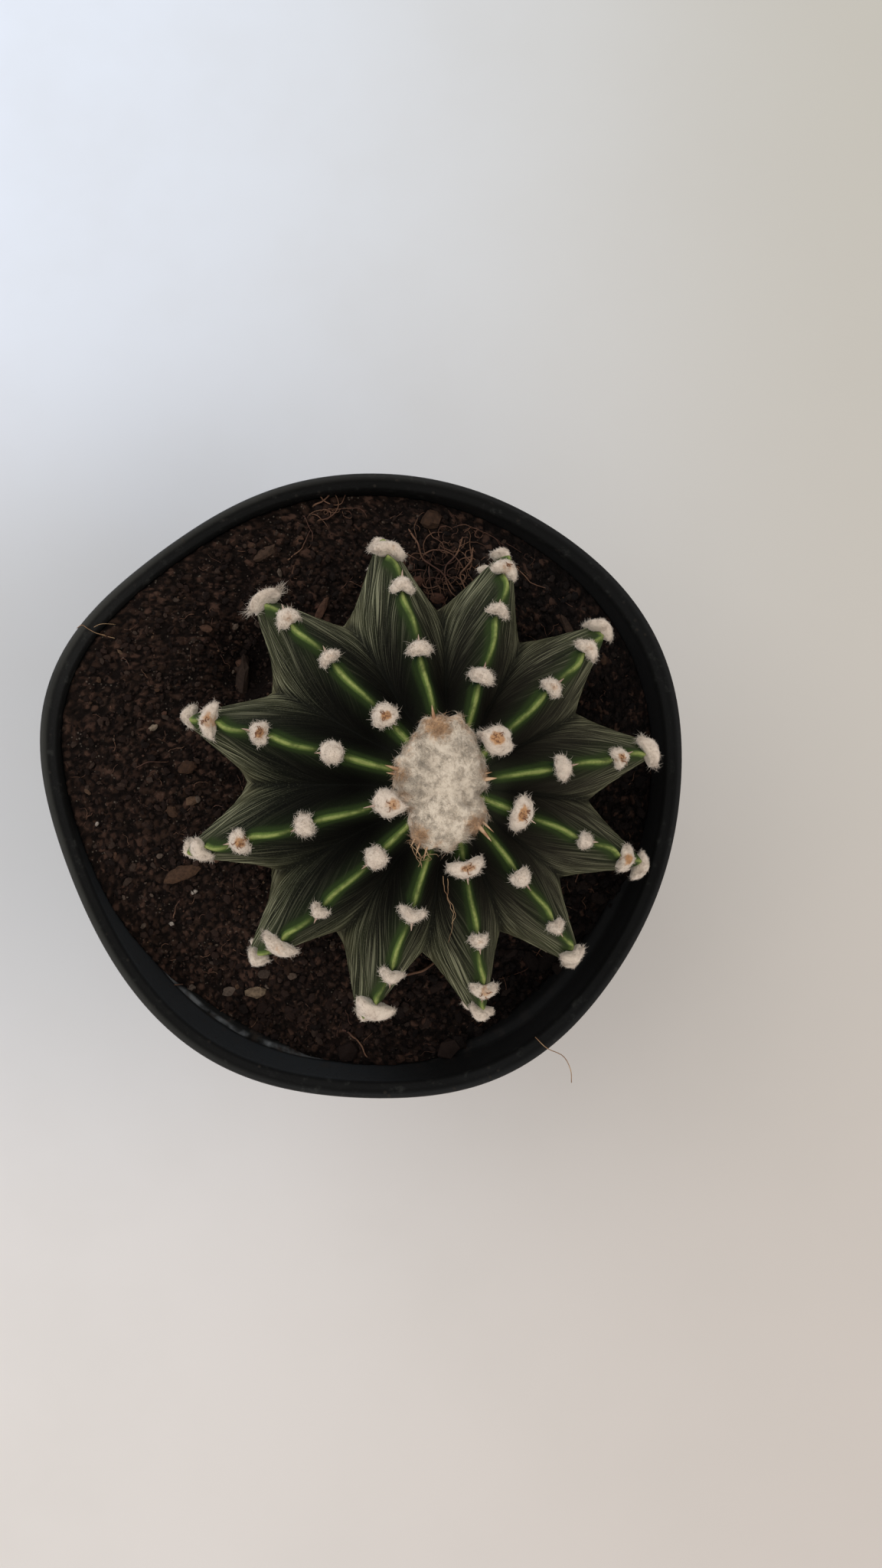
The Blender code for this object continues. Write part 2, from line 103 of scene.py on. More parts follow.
class Finish:
    """A procedural material, built node by node around one Principled shader."""

    def __init__(self, name):
        self.material = bpy.data.materials.new(name)
        self.material.use_nodes = True
        self.tree = self.material.node_tree
        self.shader = self.tree.nodes["Principled BSDF"]
        self.place = self.node("TexCoord", {}, {}, "Object")

    def plug(self, socket, value):
        """Links a node's output to a socket, or sets a plain value on it."""
        if isinstance(value, Flow):
            self.tree.links.new(value.socket, socket)
        elif socket.type == "RGBA":
            socket.default_value = (*value, 1.0)
        else:
            socket.default_value = value

    def node(self, kind, settings, sockets, outlet=0):
        """Adds a node: its settings first, a ramp's stops among them, then its sockets."""
        made = self.tree.nodes.new("ShaderNode" + kind)
        for key, value in settings.items():
            if key == "stops":
                while len(made.color_ramp.elements) < len(value):
                    made.color_ramp.elements.new(1.0)
                for element, (position, colour) in zip(made.color_ramp.elements, value):
                    element.position = position
                    element.color = (*colour, 1.0)
            else:
                setattr(made, key, value)
        for key, value in sockets.items():
            self.plug(made.inputs[key], value)
        return Flow(self, made.outputs[outlet])

    def mark(self, name):
        """A number that the mesh carries at each of its points."""
        return self.node("Attribute", {"attribute_name": name}, {}, "Fac")

    def cloud(self, scale, detail=2.0, roughness=0.5, where=None):
        """Soft noise from 0 to 1, with that many clouds to the metre."""
        sockets = {"Scale": scale, "Detail": detail, "Roughness": roughness}
        return self.node("TexNoise", {}, {"Vector": where or self.place, **sockets})

    def cells(self, scale):
        """Distance from the middle of small cells, with that many cells to the metre."""
        return self.node("TexVoronoi", {}, {"Vector": self.place, "Scale": scale})

    def along(self, axis):
        """The place along an axis in mm."""
        return self.node("SeparateXYZ", {}, {0: self.place}, axis) * 1000

    def blend(self, share, first, second):
        """A colour between two, by a share from 0 to 1."""
        return self.node("Mix", {"data_type": "RGBA"}, {0: share, 6: first, 7: second}, 2)

    def coats(self, colour, *coats):
        """Lays coats over a colour, one after another, each by its share from 0 to 1."""
        for share, coat in coats:
            colour = self.blend(share, colour, coat)
        return colour

    def ramp(self, value, *stops):
        """A colour between stops, each a position from 0 to 1 and its colour."""
        return self.node("ValToRGB", {"stops": stops}, {0: value})

    def surface(self, colour, roughness, specular=0.5, height=None, depth=0.0):
        """Plugs the shader, with a bump of that depth in metres where a height is given."""
        self.plug(self.shader.inputs["Base Color"], colour)
        self.plug(self.shader.inputs["Roughness"], roughness)
        self.plug(self.shader.inputs["Specular IOR Level"], specular)
        if height is not None:
            bump = self.node("Bump", {}, {"Height": height, "Distance": depth, "Strength": 1.0})
            self.plug(self.shader.inputs["Normal"], bump)


FLOOR_HALF = 1.6
floor_mesh = bpy.data.meshes.new("floor")
floor_corners = [(x * FLOOR_HALF, y * FLOOR_HALF, 0.0) for x, y in ((-1, -1), (1, -1), (1, 1), (-1, 1))]
floor_mesh.from_pydata(floor_corners, [], [(0, 1, 2, 3)])
floor = bpy.data.objects.new("floor", floor_mesh)
scene.collection.objects.link(floor)
pale_floor = Finish("pale_floor")
floor_x = pale_floor.along("X")
floor_y = pale_floor.along("Y")
# Painted light: the floor's colour is lighter and bluer at the upper left and darker at the right.
floor_left = pale_floor.blend(floor_y.rise(-220, 240), (0.720, 0.675, 0.650), (0.780, 0.84, 0.96))
floor_right = pale_floor.blend(floor_y.rise(-220, 240), (0.610, 0.550, 0.510), (0.555, 0.530, 0.478))
# A painted shadow darkens the floor beside the pot at the left.
floor_painted_shadow = floor_y.rise(-130, -10) * floor_y.rise(130, 20) * floor_x.rise(0, -70)
floor_clouds = pale_floor.cloud(14, 4, 0.6).rise(0.35, 0.75)
pale_floor.surface(
    colour=pale_floor.coats(
        pale_floor.blend(floor_x.rise(-120, 150), floor_left, floor_right),
        (floor_painted_shadow * 0.8, (0.52, 0.52, 0.53)),
        (floor_clouds * 0.14, (0.52, 0.49, 0.45)),
    ),
    roughness=0.75,
)
floor_mesh.materials.append(pale_floor.material)


def soft_source(name, place, size, colour, power):
    """A square soft source that faces the pot."""
    data = bpy.data.lights.new(name, "AREA")
    data.size = size
    data.color = colour
    data.energy = power
    source = bpy.data.objects.new(name, data)
    source.location = place
    source.rotation_euler = (-Vector(place)).to_track_quat("-Z", "Y").to_euler()
    scene.collection.objects.link(source)


soft_source("daylight", (-0.55, 0.50, 1.05), 1.0, (0.93, 0.97, 1.0), 5.0)
soft_source("room_light", (0.55, -0.75, 1.0), 1.2, (1.0, 0.96, 0.90), 4.0)
world = bpy.data.worlds.new("room")
world.use_nodes = True
glow = world.node_tree.nodes["Background"]
glow.inputs["Color"].default_value = (1.0, 0.985, 0.96, 1.0)
glow.inputs["Strength"].default_value = 0.72
scene.world = world
scene.view_settings.view_transform = "Standard"


# Pot
# A 12 cm nursery pot, pressed in one piece from thin black plastic: a rolled lip, a collar with a
# ledge below it, a tapered wall, and a raised floor with drain holes. Handling has left its rim
# out of round, its ledge wavy, and dust and scuffs on it.
POT_HEIGHT = 95.0
POT_SIDES = 240
# Lobes of the squeezed rim: how many stand round it, their share of the radius and turn in degrees.
RIM_LOBES = (
    (2, 0.009, -9), (3, 0.021, 120), (4, 0.004, -93), (5, 0.014, 97), (6, 0.005, -79), (8, 0.0028, -159),
)
RIM_SHIFT = (1.0, 0.28)
# Radius and height in mm, from the middle of the floor up the inside, over the lip and down.
POT_INSIDE = (
    (12, 3.2), (30, 3.2), (41.2, 3.2), (42.0, 3.7), (42.3, 5), (44.4, 17.5), (46.4, 30), (48.45, 42.6),
    (50.5, 55), (52.6, 67.5), (54.2, 77), (54.7, 79.9), (54.9, 80.6), (55.3, 81.0), (56.1, 81.5),
    (56.5, 82.0), (56.65, 82.8), (56.9, 85.5), (57.2, 88.5), (57.4, 91.5), (57.5, 93.3),
)
POT_LIP = (
    (57.9, 93.7), (58.5, 94.05), (59.0, 94.5), (59.45, 94.9), (59.8, 95.0), (60.15, 94.8), (60.4, 94.3),
    (60.5, 93.5), (60.5, 92.7), (60.3, 92.2), (59.8, 92.0),
)
POT_OUTSIDE = (
    (58.7, 92.1), (58.45, 91.6), (58.2, 88.5), (57.9, 85), (57.6, 82.2), (57.4, 81.4), (57.0, 80.9),
    (56.2, 80.4), (55.75, 79.8), (55.5, 78.5), (54.2, 71), (52.6, 62), (51.0, 52), (49.35, 42.6), (47.8, 32),
    (46.2, 22), (44.6, 12), (43.1, 2.6), (42.8, 1.2), (42.2, 0.35), (41, 0), (36, 0), (31, 0), (30.2, 0.3),
    (29.5, 1.4), (28.6, 2), (15, 2),
)
FLOOR_TOP = 3.2
FLOOR_UNDERSIDE = 2.0
HALF_WALL = 0.45
# The ledge waves up and down by this much, and the waves die out within this height of it.
LEDGE_HEIGHT = 81.3
LEDGE_WAVE = 0.35
LEDGE_WAVE_REACH = 1.1
DRAIN_RADIUS = 3.5
DRAIN_RING_RADIUS = 19.0
DRAIN_RING_HOLES = 6
DRILL_LENGTH = 8.0


def pot_place(radius, angle, height):
    """Points in mm at a radius of the true round pot, moved as the squeezed rim moves them."""
    share = height / POT_HEIGHT
    lobes = sum(size * np.cos(count * angle - math.radians(turn)) for count, size, turn in RIM_LOBES)
    reach = radius * (1 + share * lobes)
    x = RIM_SHIFT[0] * share + reach * np.cos(angle)
    y = RIM_SHIFT[1] * share + reach * np.sin(angle)
    return np.stack(np.broadcast_arrays(x, y, height), -1)


def inner_wall_radius(height):
    """Radius in mm of the pot's inside at a height, for the true round pot."""
    radii, heights = zip(*POT_INSIDE[2:])
    return np.interp(height, heights, radii)


def wrapped(rows, first_pole=None, last_pole=None):
    """Points and faces of a skin whose rows close on themselves, with a pole at either end.

    Seen from outside, each row runs anticlockwise where the rows widen from the first pole."""
    levels, around = rows.shape[:2]
    index = np.arange(levels * around).reshape(levels, around)
    after = np.roll(index, -1, 1)
    faces = np.stack([index[:-1], index[1:], after[1:], after[:-1]], -1).reshape(-1, 4).tolist()
    points = rows.reshape(-1, 3).tolist()
    if first_pole is not None:
        faces += [(len(points), a, b) for a, b in zip(index[0].tolist(), after[0].tolist())]
        points.append(first_pole)
    if last_pole is not None:
        faces += [(len(points), b, a) for a, b in zip(index[-1].tolist(), after[-1].tolist())]
        points.append(last_pole)
    return np.array(points), faces


def add_piece(name, points, faces, finish, marks=None, flat=False):
    """A mesh from points in mm that rides on the part's one body and carries numbers at its points."""
    mesh = bpy.data.meshes.new(name)
    mesh.from_pydata((np.asarray(points) * MM).tolist(), [], faces)
    for key, values in (marks or {}).items():
        carried = mesh.attributes.new(key, "FLOAT", "POINT")
        carried.data.foreach_set("value", np.asarray(values, np.float32))
    if not flat:
        mesh.shade_smooth()
    mesh.materials.append(finish.material)
    piece = bpy.data.objects.new(name, mesh)
    scene.collection.objects.link(piece)
    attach(piece, "root")
    return piece


pot_turns = math.tau * np.arange(POT_SIDES) / POT_SIDES
ledge_waves = np.array([noise.noise((5 * math.cos(turn), 5 * math.sin(turn), 0.3)) for turn in pot_turns])
pot_rows = []
for radius, height in POT_INSIDE + POT_LIP + POT_OUTSIDE:
    near_ledge = math.exp(-(((height - LEDGE_HEIGHT) / LEDGE_WAVE_REACH) ** 2))
    wobble = LEDGE_WAVE * near_ledge * ledge_waves
    pot_rows.append(pot_place(radius + wobble, pot_turns, height + 0.8 * wobble))
pot_points, pot_faces = wrapped(np.array(pot_rows), (0, 0, FLOOR_TOP), (0, 0, FLOOR_UNDERSIDE))

black_plastic = Finish("black_plastic")
pot_x, pot_y, pot_z = [black_plastic.along(axis) for axis in ("X", "Y", "Z")]
inside = black_plastic.mark("inside")
haze = black_plastic.cloud(38, 4, 0.6)
scuffs = black_plastic.cloud(420, 5, 0.7).rise(0.56, 0.72)
specks = black_plastic.cells(620).rise(0.26, 0.12) * black_plastic.cloud(160, 2).rise(0.5, 0.62)
# A painted highlight runs along the lower left of the ledge, a painted bluish sheen lies on the wall
# above it there, and dusty soil clings to the wall above it.
lower_left = (pot_x * -0.55 + pot_y * -0.83).rise(34, 52) * inside
painted_wall_sheen = lower_left * pot_z.rise(82.0, 83.5) * pot_z.rise(93.8, 91.5)
painted_ledge_glint = pot_z.rise(81.1, 81.5) * pot_z.rise(82.3, 81.8) * black_plastic.cloud(190, 3, 0.6).rise(0.36, 0.60)
clinging = pot_z.rise(92, 83) * black_plastic.cloud(330, 4, 0.7).rise(0.52, 0.66) * inside
right_side = pot_x.rise(0, 45)
# Dust and a painted sheen lie on top of the lip at the left, where the daylight falls.
dust_and_sheen_left = (pot_x - pot_y * 0.3).rise(15, -45) * pot_z.rise(94.3, 94.85)
dust_and_sheen_left = dust_and_sheen_left * (haze.rise(0.3, 0.6) * 0.5 + 0.5)
black_plastic.surface(
    height=black_plastic.cloud(1500, 3) * 0.6 + specks * 0.4,
    depth=0.00006,
    colour=black_plastic.coats(
        black_plastic.blend(haze, (0.0050, 0.0050, 0.0053), (0.0095, 0.0092, 0.0088)),
        (scuffs * 0.35, (0.05, 0.05, 0.045)),
        (painted_wall_sheen * 0.9, (0.040, 0.044, 0.049)),
        (painted_ledge_glint * lower_left * 0.9, (0.15, 0.155, 0.16)),
        (clinging * 0.35, (0.050, 0.036, 0.028)),
        # A painted dim sheen lightens the plastic below the lip at the right.
        (right_side * pot_z.rise(93.5, 90) * 0.8, (0.022, 0.022, 0.023)),
        (dust_and_sheen_left * 0.65, (0.044, 0.043, 0.038)),
        (specks * 0.18, (0.08, 0.062, 0.047)),
    ),
    roughness=haze * 0.16 + scuffs * 0.15 + specks * 0.3 + right_side * 0.2 + 0.34,
    specular=0.14,
)
pot = add_piece("nursery_pot", pot_points, pot_faces, black_plastic)

# Seven drain holes, one in the middle of the floor and a ring of them round it.
drill_work = bmesh.new()
drill_turns = [math.tau * k / DRAIN_RING_HOLES for k in range(DRAIN_RING_HOLES)]
drill_places = [(0.0, 0.0)] + [
    (DRAIN_RING_RADIUS * math.cos(turn), DRAIN_RING_RADIUS * math.sin(turn)) for turn in drill_turns
]
floor_middle = (FLOOR_TOP + FLOOR_UNDERSIDE) / 2
for x, y in drill_places:
    bmesh.ops.create_cone(
        drill_work,
        cap_ends=True,
        segments=32,
        radius1=DRAIN_RADIUS * MM,
        radius2=DRAIN_RADIUS * MM,
        depth=DRILL_LENGTH * MM,
        matrix=Matrix.Translation((x * MM, y * MM, floor_middle * MM)),
    )
drill_mesh = bpy.data.meshes.new("drill")
drill_work.to_mesh(drill_mesh)
drill_work.free()
drill = bpy.data.objects.new("drill", drill_mesh)
scene.collection.objects.link(drill)
holes = pot.modifiers.new("holes", "BOOLEAN")
holes.operation = "DIFFERENCE"
holes.solver = "EXACT"
holes.object = drill
bpy.context.view_layer.update()
drilled = bpy.data.meshes.new_from_object(pot.evaluated_get(bpy.context.evaluated_depsgraph_get()))
pot.modifiers.clear()
pot.data = drilled
bpy.data.objects.remove(drill)
# Each point of the pot carries 1 on its inside and 0 on its outside.
pot_inside = []
for vert in drilled.vertices:
    x, y, z = vert.co / MM
    shift = z / POT_HEIGHT
    turn = math.atan2(y - RIM_SHIFT[1] * shift, x - RIM_SHIFT[0] * shift)
    wall_middle = pot_place(inner_wall_radius(z) + HALF_WALL, turn, z)
    pot_inside.append(float(math.hypot(x, y) < math.hypot(*wall_middle[:2]) and z > floor_middle))
drilled.attributes.new("inside", "FLOAT", "POINT").data.foreach_set("value", pot_inside)
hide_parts("pot")


# Soil
# Dark loam with bark dust fills the pot to about 7 mm below its lip. It is heaped at the upper
# left, sunk at the lower side where the wall shows, and coarser and wetter at the lower right.
SOIL_SIDES = 600
SOIL_ROWS = 84
SOIL_INNER = 21.0
SOIL_LEVEL = 86.0
PLANT_CENTRE = (12.34, 0.78)
SOIL_DROP = 7.5
SOIL_SLOPE = 0.085
SOIL_SLOPE_TOWARDS = math.radians(-38)
# Hollows as x, y, depth and spread, and the place and spread of painted shade in a pit at the foot of
# the large slab of bark.
SOIL_HOLLOWS = ((-20, -52, 4.5, 12), (-38, -40, 5.4, 11), (36, -40, 7, 15), (-21, 23, 8, 5.5))
PIT_SHADE_PLACE = (-20.4, 22.0)
PIT_SHADE_SPREAD = (2.6, 6.0)


def soil_height(x, y):
    """Height in mm of the soil's surface before its clods."""
    downhill = x * math.cos(SOIL_SLOPE_TOWARDS) + y * math.sin(SOIL_SLOPE_TOWARDS)
    drop = SOIL_DROP + SOIL_SLOPE * downhill
    for hollow_x, hollow_y, depth, spread in SOIL_HOLLOWS:
        drop = drop + depth * np.exp(-((x - hollow_x) ** 2 + (y - hollow_y) ** 2) / (2 * spread**2))
    return POT_HEIGHT - drop


def coarseness(x, y):
    """0 in the fine soil at the left, 1 in the coarse wet soil at the lower right."""
    return 1 / (1 + math.exp(-(0.7 * x - 0.75 * y - 22) / 9))


def clods(x, y, size, seed):
    """Rounded clods of about that size in mm: 1 in the middle of one, 0 in the gaps."""
    near = noise.voronoi((x / size, y / size, seed))[0]
    return min(1.0, 2.2 * (near[1] - near[0])) ** 0.6


def soil_relief(x, y):
    """Height in mm of the heaps, clods and crumbs, and its painted shade, darkest between clods and in the
    pit.
    """
    rough = coarseness(x, y)
    heaps = noise.noise((0.09 * x, 0.09 * y, 1.7))
    big = clods(x, y, 4.2, 3.1) * max(0.0, noise.noise((0.16 * x, 0.16 * y, 8.2)) + 0.5 * rough)
    middle = clods(x, y, 1.7, 7.7)
    small = clods(x, y, 0.85, 2.4)
    height = 0.85 * heaps + (1.1 + 1.2 * rough) * big + 0.7 * middle + 0.36 * small - 0.6
    pit_x = (x - PIT_SHADE_PLACE[0]) / PIT_SHADE_SPREAD[0]
    pit_y = (y - PIT_SHADE_PLACE[1]) / PIT_SHADE_SPREAD[1]
    pit = 1.3 * math.exp(-(pit_x**2) - pit_y**2)
    return height, 1 - 0.65 * middle - 0.35 * small + pit


def soil_top(x, y):
    """Height in mm of the soil with its heaps and clods."""
    return soil_height(x, y) + soil_relief(x, y)[0]


# The surface runs from a hole round the plant's root to the wall, then down inside it.
soil_turns = math.tau * np.arange(SOIL_SIDES) / SOIL_SIDES
wall_height = np.full(SOIL_SIDES, SOIL_LEVEL)
for _ in range(6):
    wall_line = pot_place(inner_wall_radius(wall_height) - 0.25, soil_turns, wall_height)
    wall_height = soil_height(wall_line[:, 0], wall_line[:, 1])
centre_line = PLANT_CENTRE + SOIL_INNER * np.column_stack([np.cos(soil_turns), np.sin(soil_turns)])
soil_rows = []
soil_gap_shades = []
for level in range(SOIL_ROWS):
    share = level / (SOIL_ROWS - 1)
    flat_row = centre_line * (1 - share) + wall_line[:, :2] * share
    base = soil_height(flat_row[:, 0], flat_row[:, 1])
    settle = 1 - 0.6 * (share > 0.985)
    relief, gaps = np.array([soil_relief(x, y) for x, y in flat_row]).T
    soil_rows.append(np.column_stack([flat_row, base + settle * relief]))
    soil_gap_shades.append(gaps)
for height in (60, 42.6, 20, 4.2):
    down = np.full(SOIL_SIDES, float(height))
    soil_rows.append(pot_place(inner_wall_radius(down) - 0.3, soil_turns, down))
    soil_gap_shades.append(np.ones(SOIL_SIDES))
soil_points, soil_faces = wrapped(np.array(soil_rows), (*PLANT_CENTRE, 84.0), (0, 0, 3.6))

loam = Finish("loam")
crumbs = loam.cells(900).rise(0.0, 0.75)
dust = loam.cloud(2400, 4, 0.7)
# The loam is darker and glossier towards the right: wet there, and also painted darker as shade.
damp_and_shade = (loam.along("X") + loam.cloud(45, 2) * 26).rise(-2, 50)
lumps = loam.node("TexVoronoi", {}, {"Vector": loam.place, "Scale": 560}, "Color")
lump_tone = loam.node("SeparateXYZ", {}, {0: lumps}, "X")
motes = (loam.cells(1150) + loam.cloud(900, 2) * 0.3).rise(0.40, 0.26)
motes = motes * loam.cloud(260, 3, 0.6).rise(0.48, 0.60) * (1 - damp_and_shade)
loam_colour = loam.coats(
    loam.blend(loam.cloud(120, 4, 0.65), (0.0190, 0.0090, 0.0072), (0.0270, 0.0150, 0.0090)),
    (loam.cloud(900, 3, 0.6).rise(0.45, 0.75) * 0.8, (0.040, 0.024, 0.018)),
    (damp_and_shade * 0.7, (0.0045, 0.0035, 0.0035)),
    (lump_tone.rise(0.60, 0.92) * 0.7, (0.070, 0.037, 0.026)),
    # Painted shade darkens the gaps between clods and the pit at the foot of the bark.
    (loam.mark("gap").rise(0.15, 0.58) * 0.88, (0.0026, 0.0017, 0.0015)),
    (dust.rise(0.64, 0.76) * 0.5, (0.12, 0.085, 0.065)),
    (motes * 0.6, (0.140, 0.112, 0.088)),
)
loam.surface(
    height=crumbs * -0.6 + dust * 0.4,
    depth=0.0005,
    colour=loam_colour,
    roughness=0.96 - damp_and_shade * 0.16,
    specular=0.10,
)
soil_marks = {"gap": np.concatenate([np.ravel(soil_gap_shades), [0.5, 0.5]])}
soil = add_piece("loam", soil_points, soil_faces, loam, soil_marks)
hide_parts("soil")


# Grit, bark and stones
# Crumbs of loam, chips of bark and small stones lie in the surface of the soil, each its own
# grain, half sunk. A few pale stones, reddish chips and one long piece of bark stand out.
GRAIN_KINDS = (
    # count, smallest and largest size in mm, flatness, how far it sinks, seed
    (5200, 0.35, 0.85, 0.75, 0.25, 1),
    (1300, 0.9, 1.9, 0.65, 0.30, 2),
    (150, 2.0, 4.4, 0.50, 0.30, 3),
)
GRAIN_REACH = 55.2
GRAIN_JITTER = 0.2
LARGE_GRAIN = 1.9


def ball(subdivisions):
    """Points and faces of a round grain of radius 1."""
    work = bmesh.new()
    bmesh.ops.create_icosphere(work, subdivisions=subdivisions, radius=1.0)
    points = np.array([tuple(vert.co) for vert in work.verts])
    faces = np.array([[vert.index for vert in face.verts] for face in work.faces])
    work.free()
    return points, faces


def turned(draw, count):
    """Random rotation matrices."""
    spins = draw.normal(size=(count, 4))
    spins /= np.linalg.norm(spins, axis=1, keepdims=True)
    w, x, y, z = spins.T
    rows = [
        [1 - 2 * (y * y + z * z), 2 * (x * y - z * w), 2 * (x * z + y * w)],
        [2 * (x * y + z * w), 1 - 2 * (x * x + z * z), 2 * (y * z - x * w)],
        [2 * (x * z - y * w), 2 * (y * z + x * w), 1 - 2 * (x * x + y * y)],
    ]
    return np.array(rows).transpose(2, 0, 1)


def grains(places, sizes, tones, draw, subdivisions, turn=None):
    """Angular grains at places, each with its three sizes, its tone, and its own tumble or one turn."""
    points, faces = ball(subdivisions)
    jitter = 1 + draw.uniform(-GRAIN_JITTER, GRAIN_JITTER, (len(places), len(points), 1))
    shaped = points[None] * jitter * sizes[:, None, :] / 2
    lean = turned(draw, len(places))
    flat_spin = draw.uniform(0, math.tau, len(places)) if turn is None else np.full(len(places), turn)
    spin = np.zeros((len(places), 3, 3))
    spin[:, 0, 0] = spin[:, 1, 1] = np.cos(flat_spin)
    spin[:, 0, 1] = -np.sin(flat_spin)
    spin[:, 1, 0] = np.sin(flat_spin)
    spin[:, 2, 2] = 1
    small = (sizes.max(1) < 1.0)[:, None, None]
    shaped = np.einsum("nij,nkj->nki", np.where(small, lean, spin), shaped) + places[:, None]
    offsets = np.arange(len(places))[:, None, None] * len(points)
    return shaped.reshape(-1, 3), (faces[None] + offsets).reshape(-1, 3), np.repeat(tones, len(points))


def gather(bundles):
    """Joins (points, faces, marks) bundles into one."""
    points, faces, marks = [], [], []
    total = 0
    for bundle_points, bundle_faces, bundle_marks in bundles:
        points.append(bundle_points)
        faces.append(np.asarray(bundle_faces) + total)
        marks.append(bundle_marks)
        total += len(bundle_points)
    return np.concatenate(points), np.concatenate(faces), np.concatenate(marks)


def on_soil(draw, count, keep_out):
    """Random places on the soil, clear of the wall and of the middle of the plant."""
    found = []
    while len(found) < count:
        turn = draw.uniform(0, math.tau)
        radius = GRAIN_REACH * math.sqrt(draw.uniform(0, 1))
        x, y, _ = pot_place(radius, turn, SOIL_LEVEL)
        if math.hypot(x - PLANT_CENTRE[0], y - PLANT_CENTRE[1]) > keep_out:
            rough = coarseness(x, y)
            found.append((x, y, soil_top(x, y), rough))
    return np.array(found)


grain_bundles = []
for count, smallest, largest, flatness, sink, seed in GRAIN_KINDS:
    draw = np.random.default_rng(seed)
    spots = on_soil(draw, count, 27 + 2 * largest)
    size = smallest + (largest - smallest) * draw.uniform(0, 1, count) ** 1.8
    # Grains are larger in the coarse soil, and there are hardly any large ones in the fine soil.
    coarse = spots[:, 3]
    in_fine_soil = np.where(size > LARGE_GRAIN, 0.42, 1.0)
    size *= in_fine_soil + (1.35 - in_fine_soil) * coarse
    sizes = np.column_stack([1.1 * size, size * draw.uniform(0.5, 0.9, count), size * flatness])
    spots[:, 2] += (0.5 - sink) * sizes[:, 2] * 0.6
    tones = draw.uniform(0, 0.977, count)
    tones = np.where((coarse > 0.5) & (tones > 0.90), tones - 0.35, tones)
    grain_bundles.append(grains(spots[:, :3], sizes, tones, draw, 1))

# Stones and chips that stand out: place and three sizes in mm, turn in degrees and tone.
NAMED_GRAINS = (
    ((-33.4, -2.9), (2.6, 1.7, 1.3), 20, 0.975), ((-28.6, -14.0), (2.2, 1.6, 1.0), 80, 0.972),
    ((-24.7, 24.4), (1.9, 1.5, 1.1), 10, 0.972), ((-37.2, -5.0), (2.6, 1.9, 1.1), -35, 0.955),
    ((-40.5, 11.3), (1.9, 1.1, 0.8), 30, 0.985), ((-34.0, 3.6), (3.4, 2.8, 1.8), 15, 0.953),
    ((-33.2, -20.8), (1.5, 0.9, 0.8), 20, 1.0), ((-38.0, -27.2), (1.1, 0.8, 0.6), -40, 1.0),
    ((-51.4, -7.4), (0.9, 0.9, 0.7), 0, 1.0), ((-21.9, -41.5), (4.2, 2.6, 1.8), 5, 0.982),
    ((-35.0, -40.7), (1.7, 1.3, 0.8), 0, 0.94), ((-27.4, -41.5), (3.0, 2.0, 1.0), 15, 0.94),
    ((13.3, 51.7), (3.9, 3.5, 2.6), 0, 0.955), ((10.4, 39.6), (3.2, 2.6, 2.2), 30, 0.968),
    ((14.6, 36.6), (3.4, 2.3, 2.0), -20, 0.968), ((-35.4, -17.1), (7.4, 3.0, 1.5), 22, 0.963),
    ((-19.0, 45.0), (5.2, 2.2, 1.6), 35, 0.950), ((40.0, 31.5), (4.6, 1.6, 1.2), -60, 0.950),
    ((-30.2, 30.5), (2.6, 1.4, 1.0), -15, 0.966), ((-12.2, 47.5), (2.2, 1.6, 1.1), 50, 0.966),
    ((-8.0, 34.2), (6.2, 1.7, 1.2), 65, 0.972), ((-24.2, 21.6), (11.5, 2.4, 2.6), 86, 0.87),
)
named_draw = np.random.default_rng(9)
for (x, y), size, turn, tone in NAMED_GRAINS:
    place = np.array([[x, y, soil_top(x, y) + 0.22 * size[2]]])
    grain = grains(place, np.array([size]), np.array([tone]), named_draw, 2, math.radians(turn))
    grain_bundles.append(grain)
grain_points, grain_faces, grain_tones = gather(grain_bundles)

grit = Finish("grit_and_bark")
tone = grit.mark("tone")
grit_damp_and_shade = (grit.along("X") + grit.cloud(45, 2) * 26).rise(-2, 50)
# The mark runs from dark bark over brown crumbs to reddish chips and pale stones.
grain_colour = grit.ramp(
    tone,
    (0.0, (0.0045, 0.0030, 0.0027)),
    (0.50, (0.0160, 0.0085, 0.0066)),
    (0.80, (0.0380, 0.0215, 0.0160)),
    (0.925, (0.050, 0.034, 0.026)),
    (0.942, (0.13, 0.095, 0.073)),
    (0.952, (0.055, 0.028, 0.017)),
    (0.963, (0.092, 0.052, 0.031)),
    (0.970, (0.078, 0.032, 0.023)),
    (0.982, (0.20, 0.135, 0.080)),
    (0.992, (0.40, 0.34, 0.29)),
)
grit_colour = grit.coats(
    grain_colour,
    (grit.cloud(1400, 4, 0.65).rise(0.25, 0.75) * 0.65, (0.018, 0.012, 0.010)),
    # All but the pale stones and chips darken towards the right: wet there, and painted darker as shade.
    (grit_damp_and_shade * 0.62 * tone.rise(0.97, 0.93), (0.007, 0.006, 0.006)),
)
grit.surface(
    height=grit.cloud(2600, 4, 0.7),
    depth=0.0002,
    colour=grit_colour,
    roughness=0.95 - grit_damp_and_shade * 0.15,
    specular=0.10,
)
grain_marks = {"tone": grain_tones}
add_piece("grit_and_bark", grain_points, grain_faces.tolist(), grit, grain_marks, flat=True)


